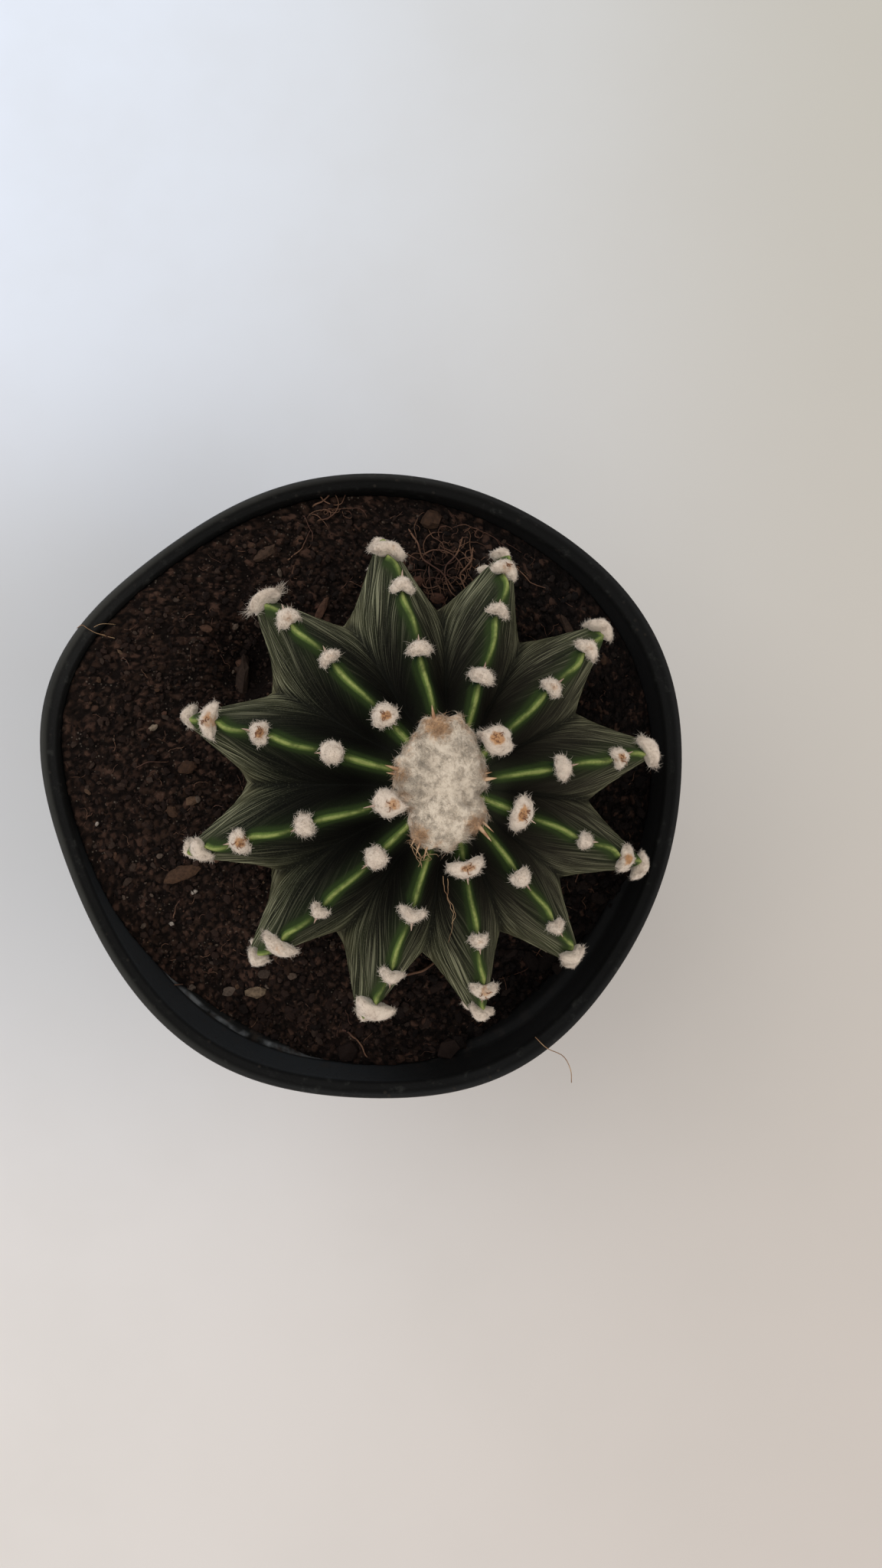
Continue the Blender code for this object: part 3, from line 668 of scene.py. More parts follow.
# Roots
# Dry brown roots curl out of the surface at the upper side and by the lower notch, in tangles and as
# single threads, with fine rootlets all over. They grew there, and are bedded in the soil.
def tubes(lines, radii, sides):
    """Tapered tubes along centre lines: lines is (count, levels, 3) and radii (count, levels)."""
    ways = np.gradient(lines, axis=1)
    ways /= np.linalg.norm(ways, axis=2, keepdims=True) + 1e-9
    helper = np.where(np.abs(ways[..., 2:]) < 0.8, np.array([0.0, 0.0, 1.0]), np.array([1.0, 0.0, 0.0]))
    across = np.cross(ways, helper)
    across /= np.linalg.norm(across, axis=2, keepdims=True) + 1e-9
    up = np.cross(across, ways)
    turns = math.tau * np.arange(sides) / sides
    spokes = np.cos(turns)[:, None] * across[:, :, None] + np.sin(turns)[:, None] * up[:, :, None]
    points = lines[:, :, None] + radii[:, :, None, None] * spokes
    count, levels = radii.shape
    index = np.arange(count * levels * sides).reshape(count, levels, sides)
    after = np.roll(index, -1, 2)
    walls = np.stack([index[:, :-1], index[:, 1:], after[:, 1:], after[:, :-1]], -1).reshape(-1, 4)
    ends = index[:, 0].tolist() + index[:, -1, ::-1].tolist()
    return points.reshape(-1, 3), walls.tolist() + ends


def tube(line, radii, sides):
    """One tapered tube along a centre line."""
    return tubes(line[None], radii[None], sides)


def join_lists(bundles):
    """Joins (points, list of faces) bundles into one."""
    points, faces = [], []
    total = 0
    for bundle_points, bundle_faces in bundles:
        points.append(bundle_points)
        faces += [[index + total for index in face] for face in bundle_faces]
        total += len(bundle_points)
    return np.concatenate(points), faces


def smooth_line(knots, levels):
    """A smooth line through knots, as Catmull and Rom's spline gives it."""
    knots = np.array(knots, float)
    padded = np.vstack([2 * knots[0] - knots[1], knots, 2 * knots[-1] - knots[-2]])
    line = []
    for share in np.linspace(0, len(knots) - 1 - 1e-6, levels):
        k = int(share)
        t = share - k
        a, b, c, d = padded[k:k + 4]
        straight = (c - a) * t
        bend = (2 * a - 5 * b + 4 * c - d) * t**2
        twist = (3 * b - a - 3 * c + d) * t**3
        line.append(0.5 * (2 * b + straight + bend + twist))
    return np.array(line)


def sway(points, scale, seed):
    """A soft push for each point, nearly the same for points that lie close together in plan."""
    return np.array([tuple(noise.noise_vector((scale * x, scale * y, seed))) for x, y, *_ in points])


# Knots as x, y and height above the soil, in mm, then the fresh root's radius at start and end.
ROOTS = (
    (((8.5, 50.5, -0.3), (10.5, 47.5, 0.7), (12.0, 44.0, 0.5), (15.5, 41.5, 0.8), (18.0, 38.0, 0.3)),
     0.34, 0.20),
    (((19.5, 49.0, -0.3), (18.4, 45.0, 0.6), (16.0, 42.5, 0.9), (16.8, 38.5, 0.4), (19.5, 36.0, -0.2)),
     0.30, 0.16),
    (((21.5, 47.0, -0.2), (21.0, 43.5, 0.8), (19.0, 41.5, 0.5), (19.8, 38.8, 0.6), (22.5, 36.5, 0.0)),
     0.32, 0.18),
    (((10.5, 44.0, -0.2), (13.5, 46.0, 0.6), (17.5, 45.2, 0.7), (20.0, 42.0, 0.3)),
     0.26, 0.14),
    (((11.0, 41.0, 0.2), (12.2, 38.6, 0.9), (14.9, 38.9, 0.6), (15.2, 36.4, 0.2)),
     0.24, 0.14),
    (((12.9, 42.6, 0.9), (13.3, 39.0, 1.0), (14.1, 36.0, 0.7)),
     0.20, 0.08),
    (((-9.5, 54.0, 0.0), (-7.0, 55.5, 0.8), (-5.0, 58.5, 0.6), (-3.8, 60.0, 0.3)),
     0.28, 0.12),
    (((-9.0, 57.0, 0.0), (-6.8, 54.8, 0.7), (-4.2, 54.6, 0.6), (-3.0, 57.0, 0.2)),
     0.22, 0.10),
    (((-8.6, 51.4, 0.0), (-5.9, 52.2, 0.7), (-4.6, 55.0, 0.5), (-6.6, 58.2, 0.3)),
     0.20, 0.10),
    (((-14.5, 44.0, 0.0), (-11.5, 46.2, 0.6), (-10.2, 49.5, 0.4)),
     0.22, 0.10),
    (((4.0, -38.6, 0.3), (6.5, -37.9, 0.9), (10.0, -37.2, 1.2), (13.0, -35.9, 0.9), (15.5, -34.6, 0.4)),
     0.50, 0.36),
    (((14.8, -36.0, 0.0), (17.5, -33.0, 0.8), (21.0, -31.8, 0.4)),
     0.26, 0.14),
    (((-4.3, -48.6, 0.3), (-1.6, -50.5, 0.8), (0.6, -54.0, 0.4)),
     0.36, 0.20),
    (((-41.0, -39.7, 0.3), (-38.7, -40.1, 0.6), (-36.8, -39.9, 0.2)),
     0.22, 0.14),
    (((-37.5, -26.1, 0.4), (-37.0, -24.0, 0.7), (-35.9, -22.3, 0.4)),
     0.20, 0.08),
    (((-44.0, 3.4, 0.2), (-41.4, 4.6, 0.6), (-37.8, 4.5, 0.2)),
     0.14, 0.08),
    (((42.0, -20.0, 0.2), (43.8, -14.5, 0.9), (42.4, -9.0, 0.5), (44.5, -5.0, 0.2)),
     0.20, 0.10),
    (((30.0, 43.0, 0.1), (33.0, 40.0, 0.8), (36.5, 38.6, 0.4)),
     0.20, 0.10),
    (((36.0, -33.0, 0.2), (33.0, -37.5, 0.8), (27.0, -39.5, 0.3)),
     0.16, 0.08),
)
ROOT_LEVELS = 22
DRIED_SHARE = 0.62
# Vector noise takes its offsets from the clock unless it is given a seed.
noise.seed_set(4)
root_bundles = []
for knots, thick, thin in ROOTS:
    line = smooth_line(knots, ROOT_LEVELS)
    line[:, 2] += [soil_top(x, y) for x, y, _ in line]
    line += 0.28 * sway(line, 0.6, thick)
    line[1:-1] = (line[:-2] + 2 * line[1:-1] + line[2:]) / 4
    root_bundles.append(tube(line, DRIED_SHARE * np.linspace(thick, thin, ROOT_LEVELS), 7))
# Tangles of thin roots: middle x and y, spread in mm and how many. They keep inside the wall.
TANGLES = ((17.0, 42.5, 3.6, 46), (-6.5, 56.0, 2.0, 12), (22.0, 50.5, 2.6, 10))
TANGLE_KNOTS = 12
TANGLE_LEVELS = 26
TANGLE_REACH = 54.6
tangle_draw = np.random.default_rng(17)
for middle_x, middle_y, spread, count in TANGLES:
    for _ in range(count):
        x, y = tangle_draw.normal((middle_x, middle_y), spread)
        heading = tangle_draw.uniform(0, math.tau)
        bend = tangle_draw.normal(0, 0.35)
        step = tangle_draw.uniform(0.35, 0.75)
        line = []
        for knot in range(TANGLE_KNOTS):
            wall_x, wall_y, _ = pot_place(TANGLE_REACH, math.atan2(y, x), 88.0)
            inward = min(1.0, math.hypot(wall_x, wall_y) / math.hypot(x, y))
            x, y = inward * x, inward * y
            arch = 0.9 * math.sin(math.pi * knot / (TANGLE_KNOTS - 1)) * tangle_draw.uniform(0.6, 1.0)
            line.append((x, y, soil_top(x, y) + arch - 0.05))
            heading += bend + tangle_draw.normal(0, 0.22)
            x += step * math.cos(heading)
            y += step * math.sin(heading)
        thick = tangle_draw.uniform(0.05, 0.125)
        radii = np.linspace(thick, 0.6 * thick, TANGLE_LEVELS)
        root_bundles.append(tube(smooth_line(line, TANGLE_LEVELS), radii, 5))
# Short rootlets lie all over the surface.
ROOTLETS = 130
ROOTLET_KNOTS = 7
rootlet_draw = np.random.default_rng(21)
rootlets = []
for _ in range(ROOTLETS):
    x, y, height, _ = on_soil(rootlet_draw, 1, 30)[0]
    heading = rootlet_draw.uniform(0, math.tau)
    line = []
    for _ in range(ROOTLET_KNOTS):
        line.append((x, y, soil_top(x, y) + rootlet_draw.uniform(0.05, 0.4)))
        heading += rootlet_draw.normal(0, 0.5)
        x += 0.55 * math.cos(heading)
        y += 0.55 * math.sin(heading)
    rootlets.append(line)
rootlet_radii = np.linspace(0.075, 0.035, ROOTLET_KNOTS) * rootlet_draw.uniform(0.6, 1.2, (ROOTLETS, 1))
root_bundles.append(tubes(np.array(rootlets), rootlet_radii, 4))
root_points, root_faces = join_lists(root_bundles)

dry_root = Finish("dry_root")
root_tone = dry_root.cloud(160, 2)
root_dirt = dry_root.cloud(1800, 3, 0.7).rise(0.5, 0.7)
dry_root.surface(
    height=dry_root.cloud(3000, 3, 0.6),
    depth=0.0001,
    colour=dry_root.coats(
        dry_root.blend(root_tone.rise(0.35, 0.65), (0.070, 0.027, 0.016), (0.155, 0.076, 0.042)),
        (root_dirt * 0.6, (0.04, 0.022, 0.014)),
    ),
    roughness=0.85,
)
add_piece("roots", root_points, root_faces, dry_root)


# Skin of the cactus
# One green body grown with twelve sharp ribs. Fine pleats leave each crest and slant towards the
# growing point as they run down to the furrow; the crest itself is a thin line of new lime skin
# that sinks into a dark notch by each areole.
RIBS = (
    # name, azimuth in degrees, and the angle from the growing point to its first areole
    ("D", 8, 28), ("C", 41, 15), ("B", 71, 26), ("A", 101, 32), ("L", 133, 21), ("K", 165, 27),
    ("J", 196, 14), ("I", 225, 23), ("H", 255, 31), ("G", 283, 19), ("F", 310, 28), ("E", 339, 18),
)
# Angles are in degrees from the growing point, and sizes in mm.
AREOLE_STEP = 20.0
CREST_RADIUS = 42.5
SHOULDER_HEIGHT = 22.0
SKIRT_HEIGHT = 27.0
LEAN = math.radians(11)
LEAN_TOWARDS = math.radians(-8)
GROWING_POINT = (16.5, 0.2, 128.0)
# How far a crest waves in degrees, and the depth of a furrow and of a chin as shares of the radius.
CREST_SWAY = 0.55
FURROW_SHARE = 0.28
CHIN_RISE = 0.03
BODY_END = 138.0
PLEAT_STEP = 4.6
PLEAT_SLANT = 43.0
PLEATS_FROM = 2.6
PLEATS_TO = 134.0
RIDGE_HALF = 0.58
HALF_RIB_TURN = math.radians(15)
# Places across half a rib, from its crest (0) to its furrow (1).
HALF_RIB = (0.018, 0.036, 0.056, 0.09, 0.14, 0.20, 0.28, 0.37, 0.47, 0.58, 0.69, 0.79, 0.87, 0.93, 0.97, 1.0)


def eased(value, low, high):
    """0 before low, 1 after high, and eased between."""
    share = np.clip((value - low) / (high - low), 0, 1)
    return share * share * (3 - 2 * share)


def turn_matrix():
    """The plant's lean, and the place of the middle of its widest ring in mm."""
    across = Vector((-math.sin(LEAN_TOWARDS), math.cos(LEAN_TOWARDS), 0))
    lean = np.array(Matrix.Rotation(LEAN, 3, across))
    return lean, np.array(GROWING_POINT) - lean @ np.array([0, 0, SHOULDER_HEIGHT])


plant_lean, plant_middle = turn_matrix()


def planted(points):
    """Points from the plant's own frame to the world, in mm."""
    return np.asarray(points) @ plant_lean.T + plant_middle


def rib_profile(share):
    """How much of the crest's height the skin keeps at that share of the way to the furrow."""
    spread = (np.sqrt(share * share + 0.005) - math.sqrt(0.005)) / (math.sqrt(1.005) - math.sqrt(0.005))
    left = np.clip(1 - spread, 0, 1)
    return 0.5 * left + 0.5 * left**2.2


def chin(first, polar):
    """The bulge below each areole, from 0 at an areole to 1 at the middle of the chin."""
    steps = (polar - first) / AREOLE_STEP
    place = (steps - np.floor(steps)) ** 0.85
    return eased(polar, 6, 20) * (1 - eased(polar, 100, 130)) * np.sin(math.pi * place) ** 2


def skin_place(rib, side, share, polar, lift=0.0):
    """Points of the skin in the plant's frame; side is -1 or 1, share runs from crest to furrow."""
    name, azimuth, first = RIBS[rib]
    following = RIBS[(rib + 1) % len(RIBS)][1] if side > 0 else RIBS[rib - 1][1]
    furrow = azimuth + ((following - azimuth + 180) % 360 - 180) / 2
    steps = (polar - first) / AREOLE_STEP
    crest = azimuth + CREST_SWAY * np.sin(math.tau * steps + rib) * eased(polar, 10, 30)
    angle_round = np.radians(crest + share * (furrow - crest))
    keep = rib_profile(share)
    depth = FURROW_SHARE * eased(polar, 7, 30) * (1 - 0.75 * eased(polar, 95, BODY_END))
    scale = (1 + CHIN_RISE * chin(first, polar) * keep**1.5) * (1 - depth * (1 - keep))
    angle = np.radians(polar)
    height = np.where(polar < 90, SHOULDER_HEIGHT, SKIRT_HEIGHT) + lift
    radius = scale * (CREST_RADIUS + lift) * np.sin(angle)
    rise = scale * height * np.cos(angle)
    x = radius * np.cos(angle_round)
    y = radius * np.sin(angle_round)
    return np.stack(np.broadcast_arrays(x, y, rise), -1)


# Each pleat is seven rows of the mesh: its thin pale ridge, and the soft swell up to the next one.
pleat_rows = []
pleat_draw = np.random.default_rng(6)
row_angle = PLEATS_FROM
while row_angle < PLEATS_TO:
    width = PLEAT_STEP * pleat_draw.uniform(0.5, 1.45)
    strength = pleat_draw.uniform(0.35, 1.0)
    gap = (width - 2 * RIDGE_HALF) / 5
    shade = pleat_draw.uniform(0.0, 1.0)
    pleat_rows += [
        (row_angle - RIDGE_HALF, 0.0, 0.1, shade), (row_angle, strength, 0.0, shade),
        (row_angle + RIDGE_HALF, 0.0, 0.1, shade),
    ]
    for part, swell in ((1, 0.6), (2, 1.0), (3, 1.0), (4, 0.6)):
        pleat_rows.append((row_angle + RIDGE_HALF + part * gap, 0.0, swell, shade))
    row_angle += width
row_angles, row_ridges, row_swells, row_shades = np.array(pleat_rows).T
row_slants = PLEAT_SLANT * eased(row_angles, 4, 92) * (1 - 0.6 * eased(row_angles, 100, PLEATS_TO))

columns = []
for rib in range(len(RIBS)):
    columns += [(rib, -1, share) for share in reversed(HALF_RIB)]
    columns.append((rib, 1, 0.0))
    columns += [(rib, 1, share) for share in HALF_RIB[:-1]]
skin_grid = np.zeros((len(pleat_rows), len(columns), 3))
# What each point of the skin carries, with its value on the root and at both poles.
SKIN_MARKS = {
    "share": 1.0,  # how far it is from the crest (0) to the furrow (1)
    "polar": 135.0,  # degrees from the growing point
    "place": 0.5,  # how far it is from one areole (0) to the next (1)
    "across": 9.0,  # mm from the crest
    "ridge": 0.0,  # 1 on a pleat's pale ridge
    "swell": 1.0,  # 1 on the swell between two ridges
    "shade": 0.5,  # how dark its pleat is
    "row": 135.0,  # degrees from the growing point to its pleat's start at the crest
    "strip": 0.0,  # its side of its rib
}
skin_marks = {key: np.zeros(skin_grid.shape[:2]) for key in SKIN_MARKS}
for k, (rib, side, share) in enumerate(columns):
    shift = 2.4 * math.sin(2.4 * rib + 0.8) * (1 - share) ** 1.5
    bends = [noise.noise((0.11 * angle, 2.6 * share, 5.0 * rib + 2 * side)) for angle in row_angles]
    shift += 1.5 * share * (1 - share) * 4 * np.array(bends) * eased(row_angles, 10, 40)
    broken = [noise.noise((0.35 * angle, 1.7 * share, 9.0 * rib + 4 * side)) for angle in row_angles]
    run = 0.62 * share**0.85 + 0.38 * share**5
    polar = np.clip(row_angles + shift - row_slants * run, 0.4, BODY_END - 1)
    ridge_fade = eased(share, 0.05, 0.22) * (1 - 0.85 * eased(share, 0.72, 0.97))
    ridge_fade = ridge_fade * eased(polar, 9, 26) * eased(np.array(broken), -0.5, 0.1)
    fold = 0.12 * row_ridges + 0.16 * row_swells * eased(share, 0.1, 0.3)
    bead = 0.22 * math.exp(-((share / 0.022) ** 2))
    lift = ridge_fade * fold + bead * eased(polar, 8, 20)
    skin_grid[:, k] = skin_place(rib, side, share, polar, lift)
    steps = (polar - RIBS[rib][2]) / AREOLE_STEP
    column_marks = {
        "share": share,
        "polar": polar,
        "place": steps - np.floor(steps),
        "across": share * HALF_RIB_TURN * CREST_RADIUS * np.sin(np.radians(polar)),
        "ridge": row_ridges * ridge_fade,
        "swell": row_swells,
        "shade": row_shades,
        "row": row_angles,
        "strip": 10 * rib + 5 * side,
    }
    for key, values in column_marks.items():
        skin_marks[key][:, k] = values
# Below the last pleat the body narrows to its root: radius and height in mm, then its tip.
ROOT_PROFILE = ((27, -24), (16, -37))
ROOT_TIP = (0, 0, -52.0)
last_turns = np.arctan2(skin_grid[-1, :, 1], skin_grid[-1, :, 0])
last_ring = np.column_stack([np.cos(last_turns), np.sin(last_turns), np.ones(len(columns))])
root_rows = [last_ring * (radius, radius, height) for radius, height in ROOT_PROFILE]
skin_grid = np.concatenate([skin_grid, np.array(root_rows)])
skin_points, skin_faces = wrapped(skin_grid, (0, 0, SHOULDER_HEIGHT), ROOT_TIP)
for key, values in skin_marks.items():
    extra = np.full(len(ROOT_PROFILE) * len(columns) + 2, SKIN_MARKS[key])
    skin_marks[key] = np.concatenate([values.ravel(), extra])

green = Finish("green_skin")
share, polar, place, across, ridge, swell, shade, row, strip = [green.mark(key) for key in SKIN_MARKS]
blotch = green.cloud(140, 3, 0.55)
fine = green.cloud(1700, 3, 0.6)
dots = green.cells(2300).rise(0.34, 0.12)
right = green.along("X").rise(0, 42)
left = green.along("X").rise(14, -14)
low_side = green.along("Y").rise(-18, -36)
# The skin is nearly black round the growing point, turns grey green, then olive and corky below.
# The grey green starts sooner at the right and on the lower side and later at the left: painted
# light on those sides and painted shade on the left.
middle_age = (polar + blotch * 14 + right * 12 - left * 12 + low_side * 14).rise(32, 64)
olive = (polar + blotch * 24 + low_side * 12).rise(62, 100)
corky = polar.rise(60, 92) * share.rise(0.35, 0.95)
# Painted shade darkens the faces towards the furrows round the growing point, less at the right.
deep = (share + blotch * 0.3).rise(0.24, 0.80) * polar.rise(72, 34) * (0.97 - right * 0.3)
# Painted shade lies in the valley beside each pleat's ridge, and some pleats take a random darker tone.
painted_valley_shade = (1 - swell) * share.rise(0.08, 0.25) * 0.7 * share.rise(0.95, 0.5) + shade * 0.28
brown = right * share.rise(0.15, 0.6) * polar.rise(84, 60)
# Painted shade darkens the inner faces round the growing point, less at the right.
inner = polar.rise(62, 36) * share.rise(0.12, 0.5) * (1 - right * 0.6)
# Painted shade darkens the bottom of each furrow.
furrow = (share + blotch * 0.06).rise(0.86, 1.0) * polar.rise(118, 84)
# Fine lines run along the pleats, close together and uneven, with a paler one on each ridge.
along_pleat = green.node("CombineXYZ", {}, {0: row * 0.8, 1: share * 1.5, 2: strip})
lines = green.cloud(1.0, 3, 0.6, along_pleat)
line_share = share.rise(0.06, 0.2) * polar.rise(16, 50) * (1 - left * polar.rise(72, 44) * 0.7)
line_share = line_share * (1 - right * polar.rise(100, 60) * 0.4)
pale_line = ridge.rise(0.0, 0.75) * (green.cloud(420, 2).rise(0.2, 0.55) * 0.5 + 0.5)
pale_line = pale_line * (1 - share.rise(0.36, 0.62) * polar.rise(92, 60))
pale_line = pale_line * (polar + share * -12).rise(12, 66)
# Green lies along each crest, with a broken lime line on it and dark notches by the areoles.
side_green = across.rise(3.8, 0.6) * (blotch * 0.5 + 0.55) * polar.rise(110, 70)
band = (across - place * 0.7).rise(1.15, 0.40) * place.rise(0.0, 0.25) * (blotch * 0.8 + 0.45)
notch = (place.rise(0.88, 0.96) + place.rise(0.05, 0.0)) * across.rise(1.3, 0.5)
broken = green.cloud(330, 3, 0.6).rise(0.30, 0.58) * 0.65 + 0.35
lime = (across - place * 0.34).rise(0.50, 0.16) * place.rise(0.04, 0.5) * place.rise(0.97, 0.70) * broken
lime_core = (across - place * 0.16).rise(0.28, 0.05) * lime
flesh = green.coats(
    green.blend(blotch.rise(0.3, 0.7), (0.0085, 0.0115, 0.0060), (0.0130, 0.0150, 0.0085)),
    (middle_age * 0.95, (0.038, 0.0415, 0.0205)),
    (olive * 0.9, (0.086, 0.091, 0.045)),
    (corky * 0.7, (0.135, 0.116, 0.064)),
    (deep, (0.0040, 0.0030, 0.0025)),
    (painted_valley_shade * polar.rise(10, 40), (0.0065, 0.0064, 0.0042)),
    (brown * 0.5, (0.036, 0.029, 0.022)),
    (lines.rise(0.49, 0.37) * line_share * 0.92, (0.0080, 0.0082, 0.0052)),
    (lines.rise(0.51, 0.61) * line_share * polar.rise(20, 74) * 0.85, (0.34, 0.33, 0.21)),
    (pale_line * 0.7, (0.27, 0.255, 0.160)),
    # Painted shade darkens the left side of the plant round the growing point.
    (left * polar.rise(82, 50) * 0.72, (0.0040, 0.0045, 0.0028)),
    (inner * 0.6, (0.0035, 0.0032, 0.0024)),
    (furrow * 0.75, (0.0050, 0.0050, 0.0035)),
    (dots * 0.22 * polar.rise(38, 66), (0.20, 0.20, 0.13)),
    (side_green * 0.50, (0.0125, 0.0200, 0.0065)),
    (band * 0.85, (0.027, 0.046, 0.012)),
    (notch * 0.85, (0.005, 0.017, 0.010)),
    (lime * (fine * 0.6 + 0.45), (0.125, 0.185, 0.042)),
    (lime_core * (fine * 0.8 + 0.1), (0.40, 0.42, 0.14)),
)
green.surface(
    height=fine * 0.5 + dots * 0.3 + green.cloud(600, 2) * 0.5,
    depth=0.00012,
    colour=flesh,
    roughness=0.68 + blotch * 0.12,
    specular=0.06,
)
skin = add_piece("cactus_skin", planted(skin_points), skin_faces, green, skin_marks)
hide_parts("cactus")


# Areoles, their wool and their spines
# Each crest carries a row of areoles: pillows of short cream wool that sit astride it like small
# saddles. The younger ones hold one conical spine that lies outwards along the crest, and some
# show an ochre middle with a few dark hooks.
FRINGE = 1.1
# Each tuft: width and length in mm with its fringe, how far its two lobes trail towards the
# growing point, how ochre its middle is, and how ragged its fringe is. Those in sight are named by
# rib and step, the others are like the usual one.
USUAL_TUFT = (4.6, 3.2, 0.14, 0.1, 1.0)
TUFTS = {
    "A0": (4.9, 3.4, 0.10, 0.15, 1.1), "A1": (4.9, 3.6, 0.26, 0.10, 0.8), "A2": (6.9, 3.8, 0.28, 0.20, 1.2),
    "B0": (5.2, 3.4, 0.05, 0.05, 1.1), "B1": (4.7, 2.9, 0.18, 0.10, 0.9), "B2": (5.8, 4.2, 0.28, 0.35, 1.0),
    "C0": (6.0, 7.2, 0.00, 1.00, 1.2), "C1": (4.6, 3.6, 0.10, 0.35, 1.2), "C2": (5.5, 3.6, 0.20, 0.30, 0.9),
    "C3": (6.2, 3.0, 0.30, 0.10, 0.9), "D0": (5.0, 3.6, 0.02, 0.10, 1.1), "D1": (4.6, 4.0, 0.10, 0.60, 0.9),
    "D2": (7.0, 4.2, 0.12, 0.10, 1.6), "E0": (7.0, 4.6, 0.02, 1.00, 1.1), "E1": (3.8, 3.4, 0.05, 0.20, 0.9),
    "E2": (5.6, 3.6, 0.10, 0.80, 0.8), "E3": (6.2, 4.9, 0.04, 0.10, 0.8), "F0": (4.4, 3.8, 0.10, 0.25, 1.0),
    "F1": (3.9, 3.3, 0.08, 0.20, 1.0), "F2": (5.6, 3.4, 0.15, 0.10, 0.9),
    "G0": (7.4, 4.0, 0.20, 0.60, 1.1), "G1": (4.1, 3.3, 0.08, 0.30, 1.1),
    "G2": (5.8, 3.6, 0.20, 0.50, 0.9), "G3": (5.6, 3.2, 0.24, 0.00, 0.6), "H0": (5.4, 3.3, 0.28, 0.00, 1.3),
    "H1": (4.9, 3.2, 0.26, 0.10, 0.9), "H2": (8.0, 5.2, 0.20, 0.05, 0.7), "I0": (4.8, 4.4, 0.05, 0.10, 1.0),
    "I1": (4.0, 3.0, 0.24, 0.00, 0.8), "I2": (7.2, 3.5, 0.16, 0.25, 1.1), "I3": (4.8, 3.4, 0.18, 0.00, 0.9),
    "J0": (5.8, 7.4, 0.00, 0.55, 1.1), "J1": (4.6, 4.0, 0.05, 0.10, 1.6), "J2": (5.2, 4.2, 0.10, 0.80, 1.0),
    "J3": (5.4, 4.0, 0.12, 0.10, 1.1), "K0": (4.7, 4.6, 0.00, 0.15, 1.2), "K1": (4.8, 4.0, 0.10, 1.00, 1.0),
    "K2": (7.0, 4.0, 0.18, 0.50, 1.0), "K3": (4.8, 3.3, 0.15, 0.10, 1.0), "L0": (5.2, 4.8, 0.00, 0.80, 1.2),
    "L1": (4.5, 3.0, 0.12, 0.20, 1.0), "L2": (4.9, 4.3, 0.10, 0.35, 1.0), "L3": (7.4, 2.4, 0.12, 0.00, 2.8),
}
# Two young tufts taper like drops: how much, and their turn from the way in, in degrees.
TAPERS = {"C0": (0.8, 62), "J0": (0.8, 26)}
# Areoles up to this many degrees from the growing point are in sight, and there are none beyond
# the last one or closer to the soil than the clearance in mm.
SIGHT_ANGLE = 98
HAIRS_IN_SIGHT = 640
HAIRS_BELOW = 160
LAST_AREOLE = 124
AREOLE_CLEARANCE = 4.5
# Half sizes of a ball of wool, as shares of a tuft's width, length and height.
HALF_TUFT = np.array([0.5, 0.5, 0.62])


def areoles():
    """Name, rib and angle of each areole that stands clear of the soil."""
    for rib, (name, _, first) in enumerate(RIBS):
        for step in range(6):
            polar = first + AREOLE_STEP * step
            if polar < LAST_AREOLE:
                x, y, z = planted(skin_place(rib, 1, 0.0, np.array(float(polar))))
                if z > soil_height(x, y) + AREOLE_CLEARANCE:
                    yield name + str(step), rib, float(polar)


def crest_frame(rib, polar):
    """Across, along and off the crest at a point of it, in world directions, and the point."""
    origin = planted(skin_place(rib, 1, 0.0, np.array(polar)))
    ahead = planted(skin_place(rib, 1, 0.0, np.array(polar + 2.0)))
    behind = planted(skin_place(rib, 1, 0.0, np.array(polar - 2.0)))
    along = ahead - behind
    along /= np.linalg.norm(along)
    upwards = plant_lean @ np.array([0.0, 0.0, 1.0])
    across = np.cross(along, upwards)
    if polar > 80:
        azimuth = math.radians(RIBS[rib][1])
        outwards = plant_lean @ np.array([math.cos(azimuth), math.sin(azimuth), 0])
        across = np.cross(along, outwards + upwards)
    across /= np.linalg.norm(across)
    off = np.cross(across, along)
    return origin, np.array([across, along, off])


def saddle(unit, size, seed, sweep, taper):
    """Moves points of a round ball to a lumpy pillow astride the crest, notched on its inner side."""
    x, y, z = unit.T
    notch = 1.6 * sweep * np.exp(-((x / 0.34) ** 2)) * np.clip(-y, 0, 1)
    lumps = [1 + 0.24 * noise.noise((1.7 * a + seed, 1.7 * b, 1.7 * c)) for a, b, c in unit]
    shaped = np.stack([x * (1 - taper * eased(-y, -0.2, 1.0)), y + notch, z], -1) * np.array(lumps)[:, None]
    shaped *= size * HALF_TUFT
    shaped[:, 1] -= sweep * size[1] * (2 * shaped[:, 0] / size[0]) ** 2 + 0.15 * taper * size[1]
    shaped[:, 2] += 0.35 * size[2] - 0.28 * size[2] * (2 * np.abs(shaped[:, 0]) / size[0]) ** 1.6
    return shaped


def with_locks(core, unit, seed):
    """Pulls a tuft's surface out into small locks, longer round its rim."""
    rim = 1 - np.abs(unit[:, 2])
    away = unit * np.array([1.0, 1.0, 0.4])
    fine = np.array([noise.noise(tuple(2.6 * point + seed)) for point in core])
    tiny = np.array([noise.noise(tuple(5.5 * point - seed)) for point in core])
    pull = (0.10 + 0.30 * rim) * (0.6 * fine + 0.9 * np.abs(tiny))
    return core + away * pull[:, None]


